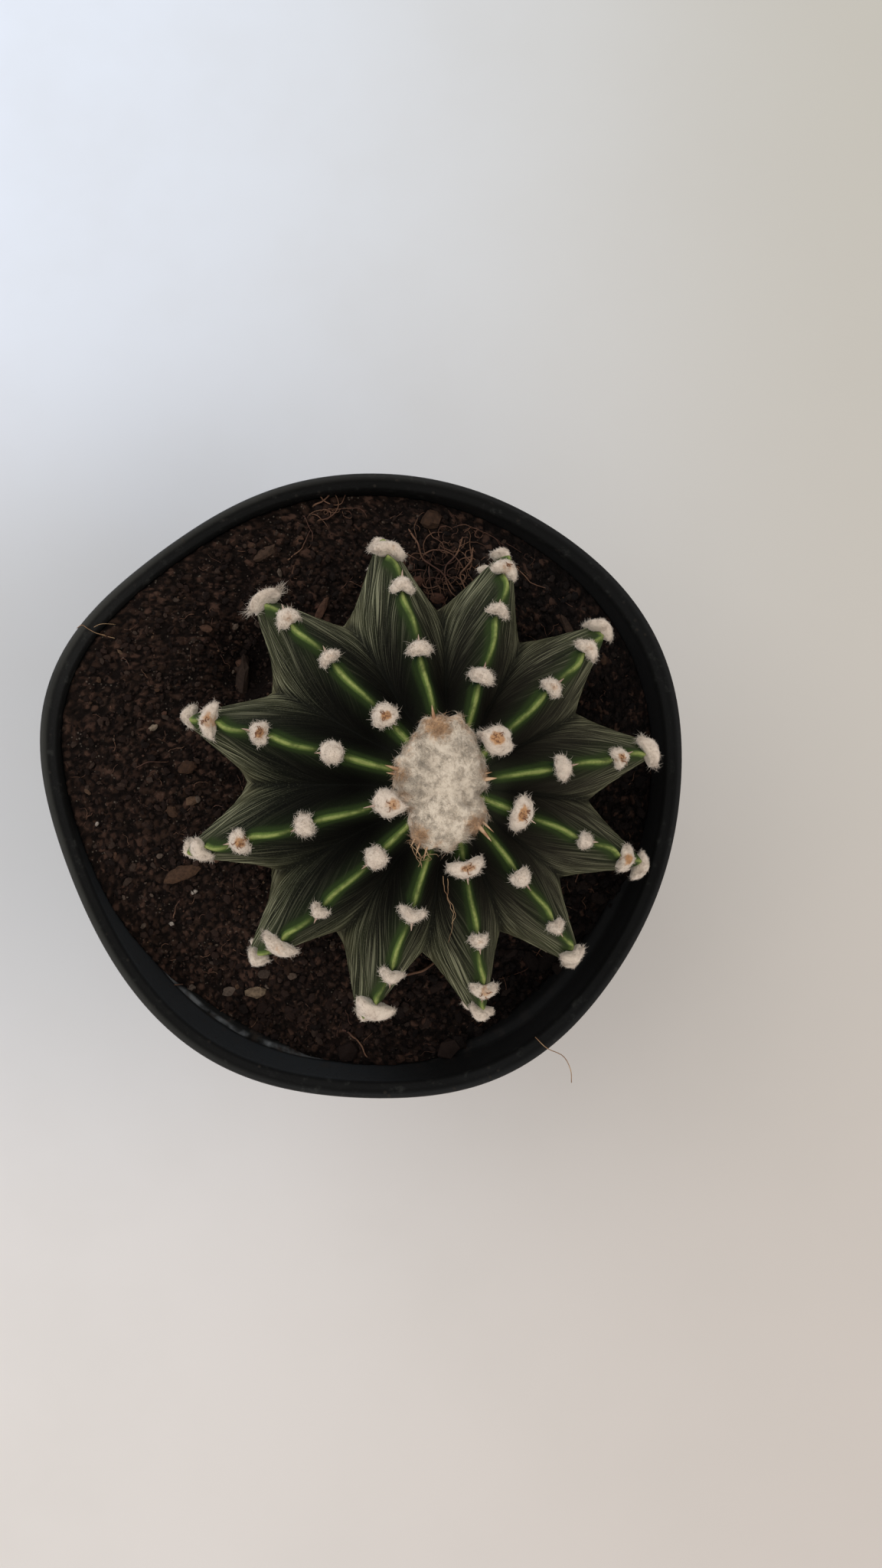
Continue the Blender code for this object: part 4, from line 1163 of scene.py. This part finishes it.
def wool_hairs(roots, normals, combed, draw, reach, spread, radius, lock_size):
    """Curved hairs that leave a surface: their lines, and their radii from root to tip.

    combed is the way they are combed; hairs within a lock of that size in mm keep together."""
    count = len(roots)
    locks = np.array([tuple(noise.noise_vector(tuple(root / lock_size))) for root in roots])
    stray = 1.5 * locks + 0.45 * draw.normal(size=(count, 3)) + combed
    flat = stray - normals * np.sum(stray * normals, axis=1, keepdims=True)
    flat /= np.linalg.norm(flat, axis=1, keepdims=True)
    lean = draw.uniform(*spread, (count, 1))
    first = normals * (1 - lean) + flat * lean
    first /= np.linalg.norm(first, axis=1, keepdims=True)
    second = first + 0.55 * flat + 0.5 * draw.normal(size=(count, 3))
    second /= np.linalg.norm(second, axis=1, keepdims=True)
    middle = roots + 0.5 * reach[:, None] * first
    tip = middle + 0.5 * reach[:, None] * second
    lines = np.stack([roots - 0.15 * normals, middle, tip], 1)
    radii = radius * draw.uniform(0.75, 1.2, (count, 1)) * np.array([[1.0, 0.85, 0.22]])
    return lines, radii


def hairs(lines, radii):
    """Pointed three-sided hairs along lines of three points."""
    points, _ = tubes(lines, radii, 3)
    rings = points.reshape(-1, 9, 3)
    points = np.concatenate([rings[:, :6], lines[:, 2:]], 1)
    one = [(0, 2, 1), (0, 1, 4, 3), (1, 2, 5, 4), (2, 0, 3, 5), (3, 4, 6), (4, 5, 6), (5, 3, 6)]
    faces = [[k * 7 + index for index in face] for k in range(len(lines)) for face in one]
    return points.reshape(-1, 3), faces


# Spines stand on the areoles up to this many degrees, except on two tufts that hide theirs.
SPINES_TO = 62
SPINELESS = ("C0", "L0")
SPINE_RADII = (0.32, 0.29, 0.21, 0.11, 0.03)
wool_draw = np.random.default_rng(12)
unit_points, unit_faces = ball(3)
core_bundles, core_tans = [], []
hair_lines, hair_radii, hair_tans = [], [], []
spine_lines = []
tuft_places = {}
for name, rib, polar in areoles():
    origin, crest_axes = crest_frame(rib, polar)
    width, length, sweep, tan, ragged = TUFTS.get(name, USUAL_TUFT)
    count = HAIRS_IN_SIGHT if polar < SIGHT_ANGLE else HAIRS_BELOW
    size = np.array([width - FRINGE, length - FRINGE, 1.35 + 0.16 * width])
    seed = 7.3 * rib + polar
    taper, turn = TAPERS.get(name, (0.0, 0.0))
    cosine = math.cos(math.radians(turn))
    sine = math.sin(math.radians(turn))
    across, along, off = crest_axes
    axes = np.array([cosine * across - sine * along, sine * across + cosine * along, off])
    # The ochre middle lies where the tuft faces the light above the plant.
    middle = np.array([0.0, -0.30 * size[1] * math.sin(math.radians(polar)) - 0.05 * taper * size[1]])
    tuft_places[name] = (origin, axes, size, middle)
    core = with_locks(saddle(unit_points, size, seed, sweep, taper), unit_points, seed)
    core_bundles.append((core @ axes + origin, unit_faces.tolist()))
    starts = wool_draw.normal(size=(count, 3))
    starts[:, 2] = np.abs(starts[:, 2]) - 0.25
    starts /= np.linalg.norm(starts, axis=1, keepdims=True)
    roots = saddle(starts, size, seed, sweep, taper)
    outwards = starts / (size * HALF_TUFT)
    outwards /= np.linalg.norm(outwards, axis=1, keepdims=True)
    combed = starts * np.array([1.1, 1.1, 0.0])
    fringe = 1 - eased(starts[:, 2], 0.1, 0.75)
    reach = wool_draw.uniform(0.28, 0.68, count)
    reach += fringe * ragged * wool_draw.uniform(0.0, 1.0, count) ** 2.0
    lines, radii = wool_hairs(roots, outwards, combed, wool_draw, reach, (0.5, 0.97), 0.029, 0.6)
    hair_lines.append(lines @ axes + origin)
    hair_radii.append(radii)
    for tans, points in ((core_tans, core), (hair_tans, roots)):
        off_x, off_y = ((points[:, :2] - middle) / (np.array([0.25, 0.23]) * size[:2])).T
        from_middle = np.hypot(off_x, off_y)
        tans.append(tan * (1 - eased(from_middle, 0.55, 1.25)) * (points[:, 2] > 0))
    if polar < SPINES_TO and name not in SPINELESS:
        turn = wool_draw.uniform(-0.3, 0.3)
        length = 0.5 * size[1] + wool_draw.uniform(0.9, 1.6)
        way = np.array([math.sin(turn), math.cos(turn), 0.0])
        spine = np.array([[0.0, -0.3, 0.7], [0, 0, 0.8], [0, 0, 0.95], [0, 0, 1.15], [0, 0, 1.3]])
        spine += np.outer(np.array([0, 0.35, 0.6, 0.85, 1.0]) * length, way)
        spine_lines.append(spine @ crest_axes + origin)

# Hooks: dark brown, curled over the ochre middle of the showiest areoles.
HOOK_COUNTS = {
    "C0": 9, "E0": 10, "L0": 6, "K1": 7, "K2": 5, "J2": 5, "D1": 4, "G0": 4, "J0": 3, "B2": 3, "G2": 3,
}
HOOK_RADII = (0.11, 0.10, 0.08, 0.03)
hook_lines = []
for name, count in HOOK_COUNTS.items():
    origin, axes, size, middle = tuft_places[name]
    for _ in range(count):
        turn = wool_draw.uniform(0, math.tau)
        way = np.array([math.cos(turn), math.sin(turn)])
        side = np.array([-way[1], way[0]]) * wool_draw.choice([-1, 1])
        reach = wool_draw.uniform(0.5, 1.05)
        start = middle + wool_draw.normal(0, 0.3, 2)
        top = 0.97 * size[2] + wool_draw.uniform(-0.08, 0.10)
        flat_knots = [start, start + 0.4 * reach * way, start + 0.9 * reach * way + 0.2 * reach * side]
        flat_knots.append(start + 0.8 * reach * way + 0.7 * reach * side)
        heights = (top - 0.3, top + 0.08, top + 0.10, top - 0.02)
        hook = np.column_stack([flat_knots, heights])
        hook_lines.append(hook @ axes + origin)
hook_radii = np.tile(HOOK_RADII, (len(hook_lines), 1))
hook_points, hook_faces = tubes(np.array(hook_lines), hook_radii, 5)
brown_horn = Finish("brown_horn")
brown_horn.surface(
    colour=brown_horn.blend(brown_horn.cloud(1200, 2), (0.09, 0.032, 0.012), (0.27, 0.115, 0.045)),
    roughness=0.6,
    height=brown_horn.cloud(3000, 2),
    depth=0.00003,
)
add_piece("hooks", hook_points, hook_faces, brown_horn)

core_points, core_faces = join_lists(core_bundles)


def wool_finish(name, pale, shaded, ochre, clouds=420):
    """Cream wool: dull, uneven in tone, painted darker as shade where its full mark is low, ochre where its
    mark says so.
    """
    made = Finish(name)
    tan_share = made.mark("tan")
    uneven = made.cloud(clouds, 3, 0.6)
    light_share = made.mark("full").rise(0.0, 0.42)
    tone = made.blend((uneven.rise(0.2, 0.55) * 0.6 + 0.4) * (light_share * 0.8 + 0.2), shaded, pale)
    ragged = made.cloud(1300, 2, 0.6) * 0.9 - 0.45
    ochre_share = (tan_share + ragged).rise(0.1, 0.75) * tan_share.rise(0.0, 0.25)
    made.surface(
        height=made.cloud(2600, 3, 0.7),
        depth=0.00025,
        colour=made.blend(ochre_share, tone, ochre),
        roughness=0.95,
        specular=0.1,
    )
    made.shader.inputs["Sheen Weight"].default_value = 0.35
    made.shader.inputs["Sheen Roughness"].default_value = 0.6
    return made


cream_wool = wool_finish("cream_wool", (0.80, 0.68, 0.565), (0.46, 0.35, 0.27), (0.46, 0.235, 0.10))
# The felt under the hairs is painted dark, as shade between the hairs.
CORE_LIGHT_SHARE = 0.22
core_marks = {"tan": np.concatenate(core_tans), "full": np.full(len(core_points), CORE_LIGHT_SHARE)}
add_piece("areole_felt", core_points, core_faces, cream_wool, core_marks)
# Hairs carry painted shade at their roots that fades towards the tip. They make two pieces of about half the
# tufts each.
TIP_FADE = np.array([0.16, 0.16, 0.16, 0.36, 0.36, 0.36, 0.42])
half = len(hair_lines) // 2
for part, chosen in (("near", slice(0, half)), ("far", slice(half, None))):
    hair_points, hair_faces = hairs(np.concatenate(hair_lines[chosen]), np.concatenate(hair_radii[chosen]))
    part_tans = np.concatenate(hair_tans[chosen])
    hair_marks = {"tan": np.repeat(part_tans, 7), "full": np.tile(TIP_FADE, len(part_tans))}
    add_piece("areole_wool_" + part, hair_points, hair_faces, cream_wool, hair_marks)

spine_radii = np.tile(SPINE_RADII, (len(spine_lines), 1))
spine_points, spine_faces = tubes(np.array(spine_lines), spine_radii, 7)


def horn_finish(name, clouds, spread, dark, pale, depth, roughness):
    """Horn or dry hair: its colour is cloudy between two tones, and its relief is fine."""
    made = Finish(name)
    made.surface(
        colour=made.blend(made.cloud(clouds, 2).rise(*spread), dark, pale),
        height=made.cloud(2500, 2),
        depth=depth,
        roughness=roughness,
    )
    return made


spine_horn = horn_finish(
    "spine_horn", 500, (0.3, 0.7), (0.26, 0.155, 0.115), (0.46, 0.33, 0.25), depth=0.00005, roughness=0.55
)
add_piece("spines", spine_points, spine_faces, spine_horn)


# Crown wool
# Dense felt of young wool hides the growing point. It is made of several soft clumps pressed
# together, ochre where the newest spines push through, and some of these lie in its edge.

# Edge of the felt seen from above: azimuth in degrees and reach in mm.
CROWN_EDGE = (
    (0, 7.6), (20, 7.9), (45, 8.4), (61, 10.5), (74, 11.2), (90, 11.1), (102, 10.7), (111, 9.9), (123, 8.4),
    (146, 8.0), (164, 7.8), (180, 7.4), (203, 7.2), (222, 6.5), (232, 8.2), (242, 10.0), (258, 10.7),
    (277, 11.0), (292, 10.2), (306, 9.5), (317, 10.0), (329, 9.0), (341, 6.8), (354, 7.2), (360, 7.6),
)
CROWN_MIDDLE = (-1.4, 0.3)
CROWN_LOFT = 3.0
# Clumps as x, y, radius and height in mm.
CROWN_CLUMPS = (
    (0.1, 8.9, 4.0, 1.2), (-3.2, 4.6, 3.8, 1.6), (3.2, 4.7, 3.7, 1.5), (-4.8, -0.2, 3.3, 1.3),
    (0.1, 1.6, 4.6, 2.2), (4.7, 0.8, 3.0, 1.3), (-3.0, -6.9, 3.4, 1.6), (0.4, -4.6, 3.6, 1.9),
    (5.0, -6.5, 3.1, 1.5), (0.6, -9.0, 2.8, 1.3),
)
# Ochre patches as x, y, radius and strength.
CROWN_PATCHES = (
    (-0.7, 9.3, 3.2, 1.0), (-7.0, 1.6, 2.2, 0.8), (-6.2, -2.4, 2.0, 0.5), (5.8, -6.9, 2.8, 1.0),
    (-4.0, -8.6, 2.9, 0.9), (7.2, 1.6, 1.7, 0.8), (2.6, -10.2, 2.0, 0.4), (-5.6, 5.6, 2.0, 0.4),
    (4.1, 8.4, 1.6, 0.3),
)
# Creases painted dark as shade, as x, y and half sizes in mm.
CROWN_CREASE_SHADES = ((3.5, -3.4, 1.5, 0.5), (-1.0, 2.8, 0.6, 0.5), (-2.6, -5.2, 1.6, 0.4), (3.0, 5.9, 0.4, 1.2))


def crown_reach(turn):
    """How far the felt reaches from its middle in mm in that direction, with its locks of wool."""
    azimuths, reaches = zip(*CROWN_EDGE)
    locks = 0.022 * np.cos(14 * turn + 0.7) + 0.02 * np.cos(23 * turn + 2.0)
    return (1 + locks) * np.interp(np.degrees(turn) % 360, azimuths, reaches)


def warp(flat):
    """Bends the plan of the clumps, so that none of them is round."""
    bends = [tuple(noise.noise_vector((0.33 * x, 0.33 * y, 4.4)))[:2] for x, y in flat.reshape(-1, 2)]
    return flat + 1.5 * np.array(bends).reshape(flat.shape)


def crown_place(share, turn):
    """A point of the felt in the plant's frame; share runs from its middle (0) to its edge (1)."""
    x = share * crown_reach(turn) * np.cos(turn)
    y = share * crown_reach(turn) * np.sin(turn)
    away = np.hypot(x + CROWN_MIDDLE[0], y + CROWN_MIDDLE[1])
    skin = SHOULDER_HEIGHT * np.sqrt(1 - (away / CREST_RADIUS) ** 2)
    warped = warp(np.stack([x, y], -1))
    clump = np.zeros_like(x)
    for clump_x, clump_y, radius, height in CROWN_CLUMPS:
        near = 1 - ((warped[..., 0] - clump_x) ** 2 + (warped[..., 1] - clump_y) ** 2) / radius**2
        clump = np.maximum(clump, height * np.sqrt(np.clip(near, 0, 1)))
    edge = np.sqrt(np.clip(1 - share**4, 0, 1))
    lumps = np.array([
        1.3 * noise.noise((0.45 * a, 0.45 * b, 3.1)) + 0.5 * noise.noise((1.3 * a, 1.3 * b, 1.1))
        for a, b in zip(np.ravel(x), np.ravel(y))
    ])
    loft = edge * (0.62 * CROWN_LOFT + 0.62 * clump + 0.36 * lumps.reshape(x.shape)) + 0.35
    return np.stack([x + CROWN_MIDDLE[0], y + CROWN_MIDDLE[1], skin + loft], -1)


def clump_at(points):
    """Light for painted shade: 1 mid-clump, less between clumps, 0 in a crease; and the way out of the
    clump.
    """
    share = np.zeros(len(points))
    way = np.zeros((len(points), 3))
    warped = warp(points[:, :2] - CROWN_MIDDLE)
    for clump_x, clump_y, radius, _ in CROWN_CLUMPS:
        offset = warped - (clump_x, clump_y)
        near = 1 - np.sum(offset**2, 1) / radius**2
        nearest = near > share
        way[nearest, :2] = offset[nearest] / radius
        share = np.maximum(share, near)
    full = 0.35 + 0.65 * np.sqrt(np.clip(share, 0, 1))
    for crease_x, crease_y, half_x, half_y in CROWN_CREASE_SHADES:
        x = (points[:, 0] - CROWN_MIDDLE[0] - crease_x) / half_x
        y = (points[:, 1] - CROWN_MIDDLE[1] - crease_y) / half_y
        full = full * (1 - np.exp(-(x * x + y * y)))
    return full, way


def ochre_at(points):
    """How ochre the crown's wool is at points of the plant's frame."""
    tan = np.zeros(len(points))
    for x, y, radius, strength in CROWN_PATCHES:
        distance = np.hypot(points[:, 0] - CROWN_MIDDLE[0] - x, points[:, 1] - CROWN_MIDDLE[1] - y)
        tan = np.maximum(tan, 0.85 * strength * (1 - eased(distance, 0.1 * radius, 1.25 * radius)))
    x = points[:, 0] - CROWN_MIDDLE[0]
    y = points[:, 1] - CROWN_MIDDLE[1]
    share = np.hypot(x, y) / crown_reach(np.arctan2(y, x))
    uneven = np.array([0.5 + noise.noise((0.8 * a, 0.8 * b, 6.0)) for a, b in zip(x, y)])
    return np.maximum(tan, 0.6 * eased(share, 0.7, 1.0) * np.clip(uneven, 0, 1))


CROWN_SIDES = 120
CROWN_HEM = 1.8
crown_turns = math.tau * np.arange(CROWN_SIDES) / CROWN_SIDES
crown_shares = np.array([
    0.03, 0.08, 0.14, 0.2, 0.27, 0.34, 0.41, 0.48, 0.55, 0.62, 0.69, 0.76, 0.82, 0.88, 0.93, 0.97, 1.0,
])
crown_grid = crown_place(*np.meshgrid(crown_shares, crown_turns, indexing="ij"))
crown_edge = crown_grid[-1].copy()
crown_edge[:, 2] -= CROWN_HEM
crown_grid = np.concatenate([crown_grid, crown_edge[None]])
top = crown_place(np.array([0.0]), np.array([0.0]))[0]
felt_points, felt_faces = wrapped(crown_grid, top, (0, 0, SHOULDER_HEIGHT - 1.5))
crown_felt = wool_finish("crown_felt", (0.69, 0.585, 0.465), (0.33, 0.26, 0.19), (0.45, 0.26, 0.13), 210)
# The felt is painted darker as shade between its clumps and in its creases.
felt_marks = {"tan": ochre_at(felt_points), "full": clump_at(felt_points)[0]}
felt = add_piece("crown_felt", planted(felt_points), felt_faces, crown_felt, felt_marks)
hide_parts("crown_wool")

CROWN_HAIRS = 15000
crown_draw = np.random.default_rng(31)
hair_turns = crown_draw.uniform(0, math.tau, CROWN_HAIRS)
hair_shares = crown_draw.uniform(0, 1.0, CROWN_HAIRS) ** 0.42
crown_roots = crown_place(hair_shares, hair_turns)
side_step = crown_place(hair_shares, hair_turns + 0.02) - crown_roots
out_step = crown_place(np.clip(hair_shares + 0.01, 0, 1.02), hair_turns) - crown_roots
crown_normals = np.cross(out_step, side_step)
crown_normals /= np.linalg.norm(crown_normals, axis=1, keepdims=True) + 1e-9
crown_light_share, clump_ways = clump_at(crown_roots)
crown_normals += 0.9 * clump_ways
crown_normals /= np.linalg.norm(crown_normals, axis=1, keepdims=True)
crown_lengths = crown_draw.uniform(0.5, 1.2, CROWN_HAIRS)
crown_lengths += 1.9 * eased(hair_shares, 0.80, 1.0) * crown_draw.uniform(0, 1, CROWN_HAIRS) ** 1.5
lines, radii = wool_hairs(
    crown_roots, crown_normals, 0.6 * clump_ways, crown_draw, crown_lengths, (0.75, 1.0), 0.028, 1.5
)
felt_hair_points, felt_hair_faces = hairs(planted(lines), radii)
# The crown's hairs carry the same painted shade, and more of it at their roots.
felt_hair_marks = {
    "tan": np.repeat(ochre_at(crown_roots), 7),
    "full": (crown_light_share[:, None] * (0.75 + 0.8 * TIP_FADE)).ravel(),
}
add_piece(
    "crown_wool_hairs", felt_hair_points, felt_hair_faces, crown_felt, felt_hair_marks
)


def over_skin(x, y, above):
    """A point of the plant's frame that far above the round of its crests."""
    return (x, y, SHOULDER_HEIGHT * math.sqrt(1 - (x * x + y * y) / CREST_RADIUS**2) + above)


# New spines lie in the felt's edge and point outwards: azimuth in degrees, length and radius in mm.
EDGE_SPINES = (
    (5, 3.2, 0.46), (12, 2.3, 0.24), (96, 3.2, 0.40), (162, 3.2, 0.40), (169, 2.6, 0.26), (312, 4.4, 0.44),
    (318, 3.8, 0.26), (251, 3.0, 0.28), (258, 3.2, 0.24), (245, 2.6, 0.22),
)
edge_lines, edge_radii = [], []
for azimuth, length, radius in EDGE_SPINES:
    turn = math.radians(azimuth)
    line = []
    for share in (0.0, 0.3, 0.6, 0.85, 1.0):
        reach = float(crown_reach(turn)) - 1.3 + share * length
        x = CROWN_MIDDLE[0] + reach * math.cos(turn)
        y = CROWN_MIDDLE[1] + reach * math.sin(turn)
        line.append(over_skin(x, y, 1.1 - 0.35 * share))
    edge_lines.append(planted(line))
    edge_radii.append(radius * np.array([1.0, 0.9, 0.62, 0.32, 0.06]))
edge_points, edge_faces = tubes(np.array(edge_lines), np.array(edge_radii), 7)
amber_horn = horn_finish(
    "amber_horn", 600, (0.3, 0.7), (0.30, 0.15, 0.07), (0.58, 0.38, 0.23), depth=0.00005, roughness=0.6
)
add_piece("crown_spines", edge_points, edge_faces, amber_horn)


# Loose fibres
# Long withered hairs trail from the crown's lower edge and from the first areole below it, and a
# few strands of dry root lie across the rim.

# Withered hairs: knots in the plant's plan, as x and y in mm, and how far above the skin.
STRANDS = (
    ((-6.5, -9.4, 1.3), (-5.4, -10.6, 1.6), (-4.2, -11.6, 1.5), (-2.6, -11.2, 1.7), (-1.9, -11.6, 1.5)),
    ((-5.6, -9.6, 1.4), (-4.9, -11.2, 1.5), (-4.6, -12.4, 1.2), (-4.3, -13.6, 0.9)),
    ((-3.6, -10.2, 1.6), (-4.2, -11.4, 1.4), (-4.5, -12.6, 1.0), (-4.2, -13.3, 0.9)),
    ((-6.2, -10.0, 1.2), (-5.6, -11.3, 1.3), (-4.6, -11.9, 1.4), (-3.4, -11.9, 1.5)),
    ((-5.0, -10.4, 1.5), (-5.3, -11.6, 1.3), (-4.7, -12.6, 1.1), (-4.9, -13.4, 0.9)),
    ((-4.4, -9.9, 1.6), (-3.6, -11.0, 1.7), (-3.0, -11.9, 1.5), (-3.8, -12.3, 1.3)),
    ((-1.2, -14.7, 1.9), (-0.3, -17.5, 1.1), (1.1, -20.7, 0.8), (1.5, -22.5, 0.7), (0.9, -26.2, 0.6)),
    ((-0.1, -15.2, 1.9), (0.1, -18.0, 1.2), (1.5, -21.1, 0.9), (1.2, -23.0, 0.8)),
)
STRAND_LEVELS = 18
strand_lines = []
for knots in STRANDS:
    line = smooth_line([over_skin(*knot) for knot in knots], STRAND_LEVELS)
    strand_lines.append(planted(line + 0.35 * sway(line, 0.9, knots[0][0]) * np.array([1, 1, 0.2])))
strand_radii = np.tile(np.linspace(0.055, 0.03, STRAND_LEVELS), (len(STRANDS), 1))
strand_points, strand_faces = tubes(np.array(strand_lines), strand_radii, 5)
withered = horn_finish(
    "withered_hair", 300, (0.35, 0.65), (0.20, 0.10, 0.045), (0.40, 0.26, 0.14), depth=0.00003, roughness=0.7
)
add_piece("withered_hairs", strand_points, strand_faces, withered)

# Rim fibres: knots in world mm, lying on the lip, then the radius.
RIM_FIBRES = (
    (((-54.2, 30.1, 94.4), (-53.0, 30.6, 95.1), (-51.9, 29.9, 95.0), (-50.6, 29.2, 93.9),
      (-49.2, 29.0, 92.8)),
     0.07),
    (((-50.6, 29.2, 93.9), (-49.6, 28.9, 93.0), (-47.5, 28.4, 92.6)),
     0.06),
    (((-50.8, 30.2, 95.0), (-49.9, 30.8, 94.5), (-48.8, 31.0, 94.0), (-47.4, 31.1, 92.3)),
     0.045),
    (((33.2, -47.8, 94.9), (35.4, -49.9, 95.0), (38.6, -51.6, 94.2), (40.2, -54.6, 92.6),
      (40.6, -57.6, 90.5)),
     0.09),
)
FIBRE_LEVELS = 16
fibre_bundles = []
for knots, radius in RIM_FIBRES:
    fibre_bundles.append(tube(smooth_line(knots, FIBRE_LEVELS), np.full(FIBRE_LEVELS, radius), 5))
fibre_points, fibre_faces = join_lists(fibre_bundles)
add_piece("rim_fibres", fibre_points, fibre_faces, withered)
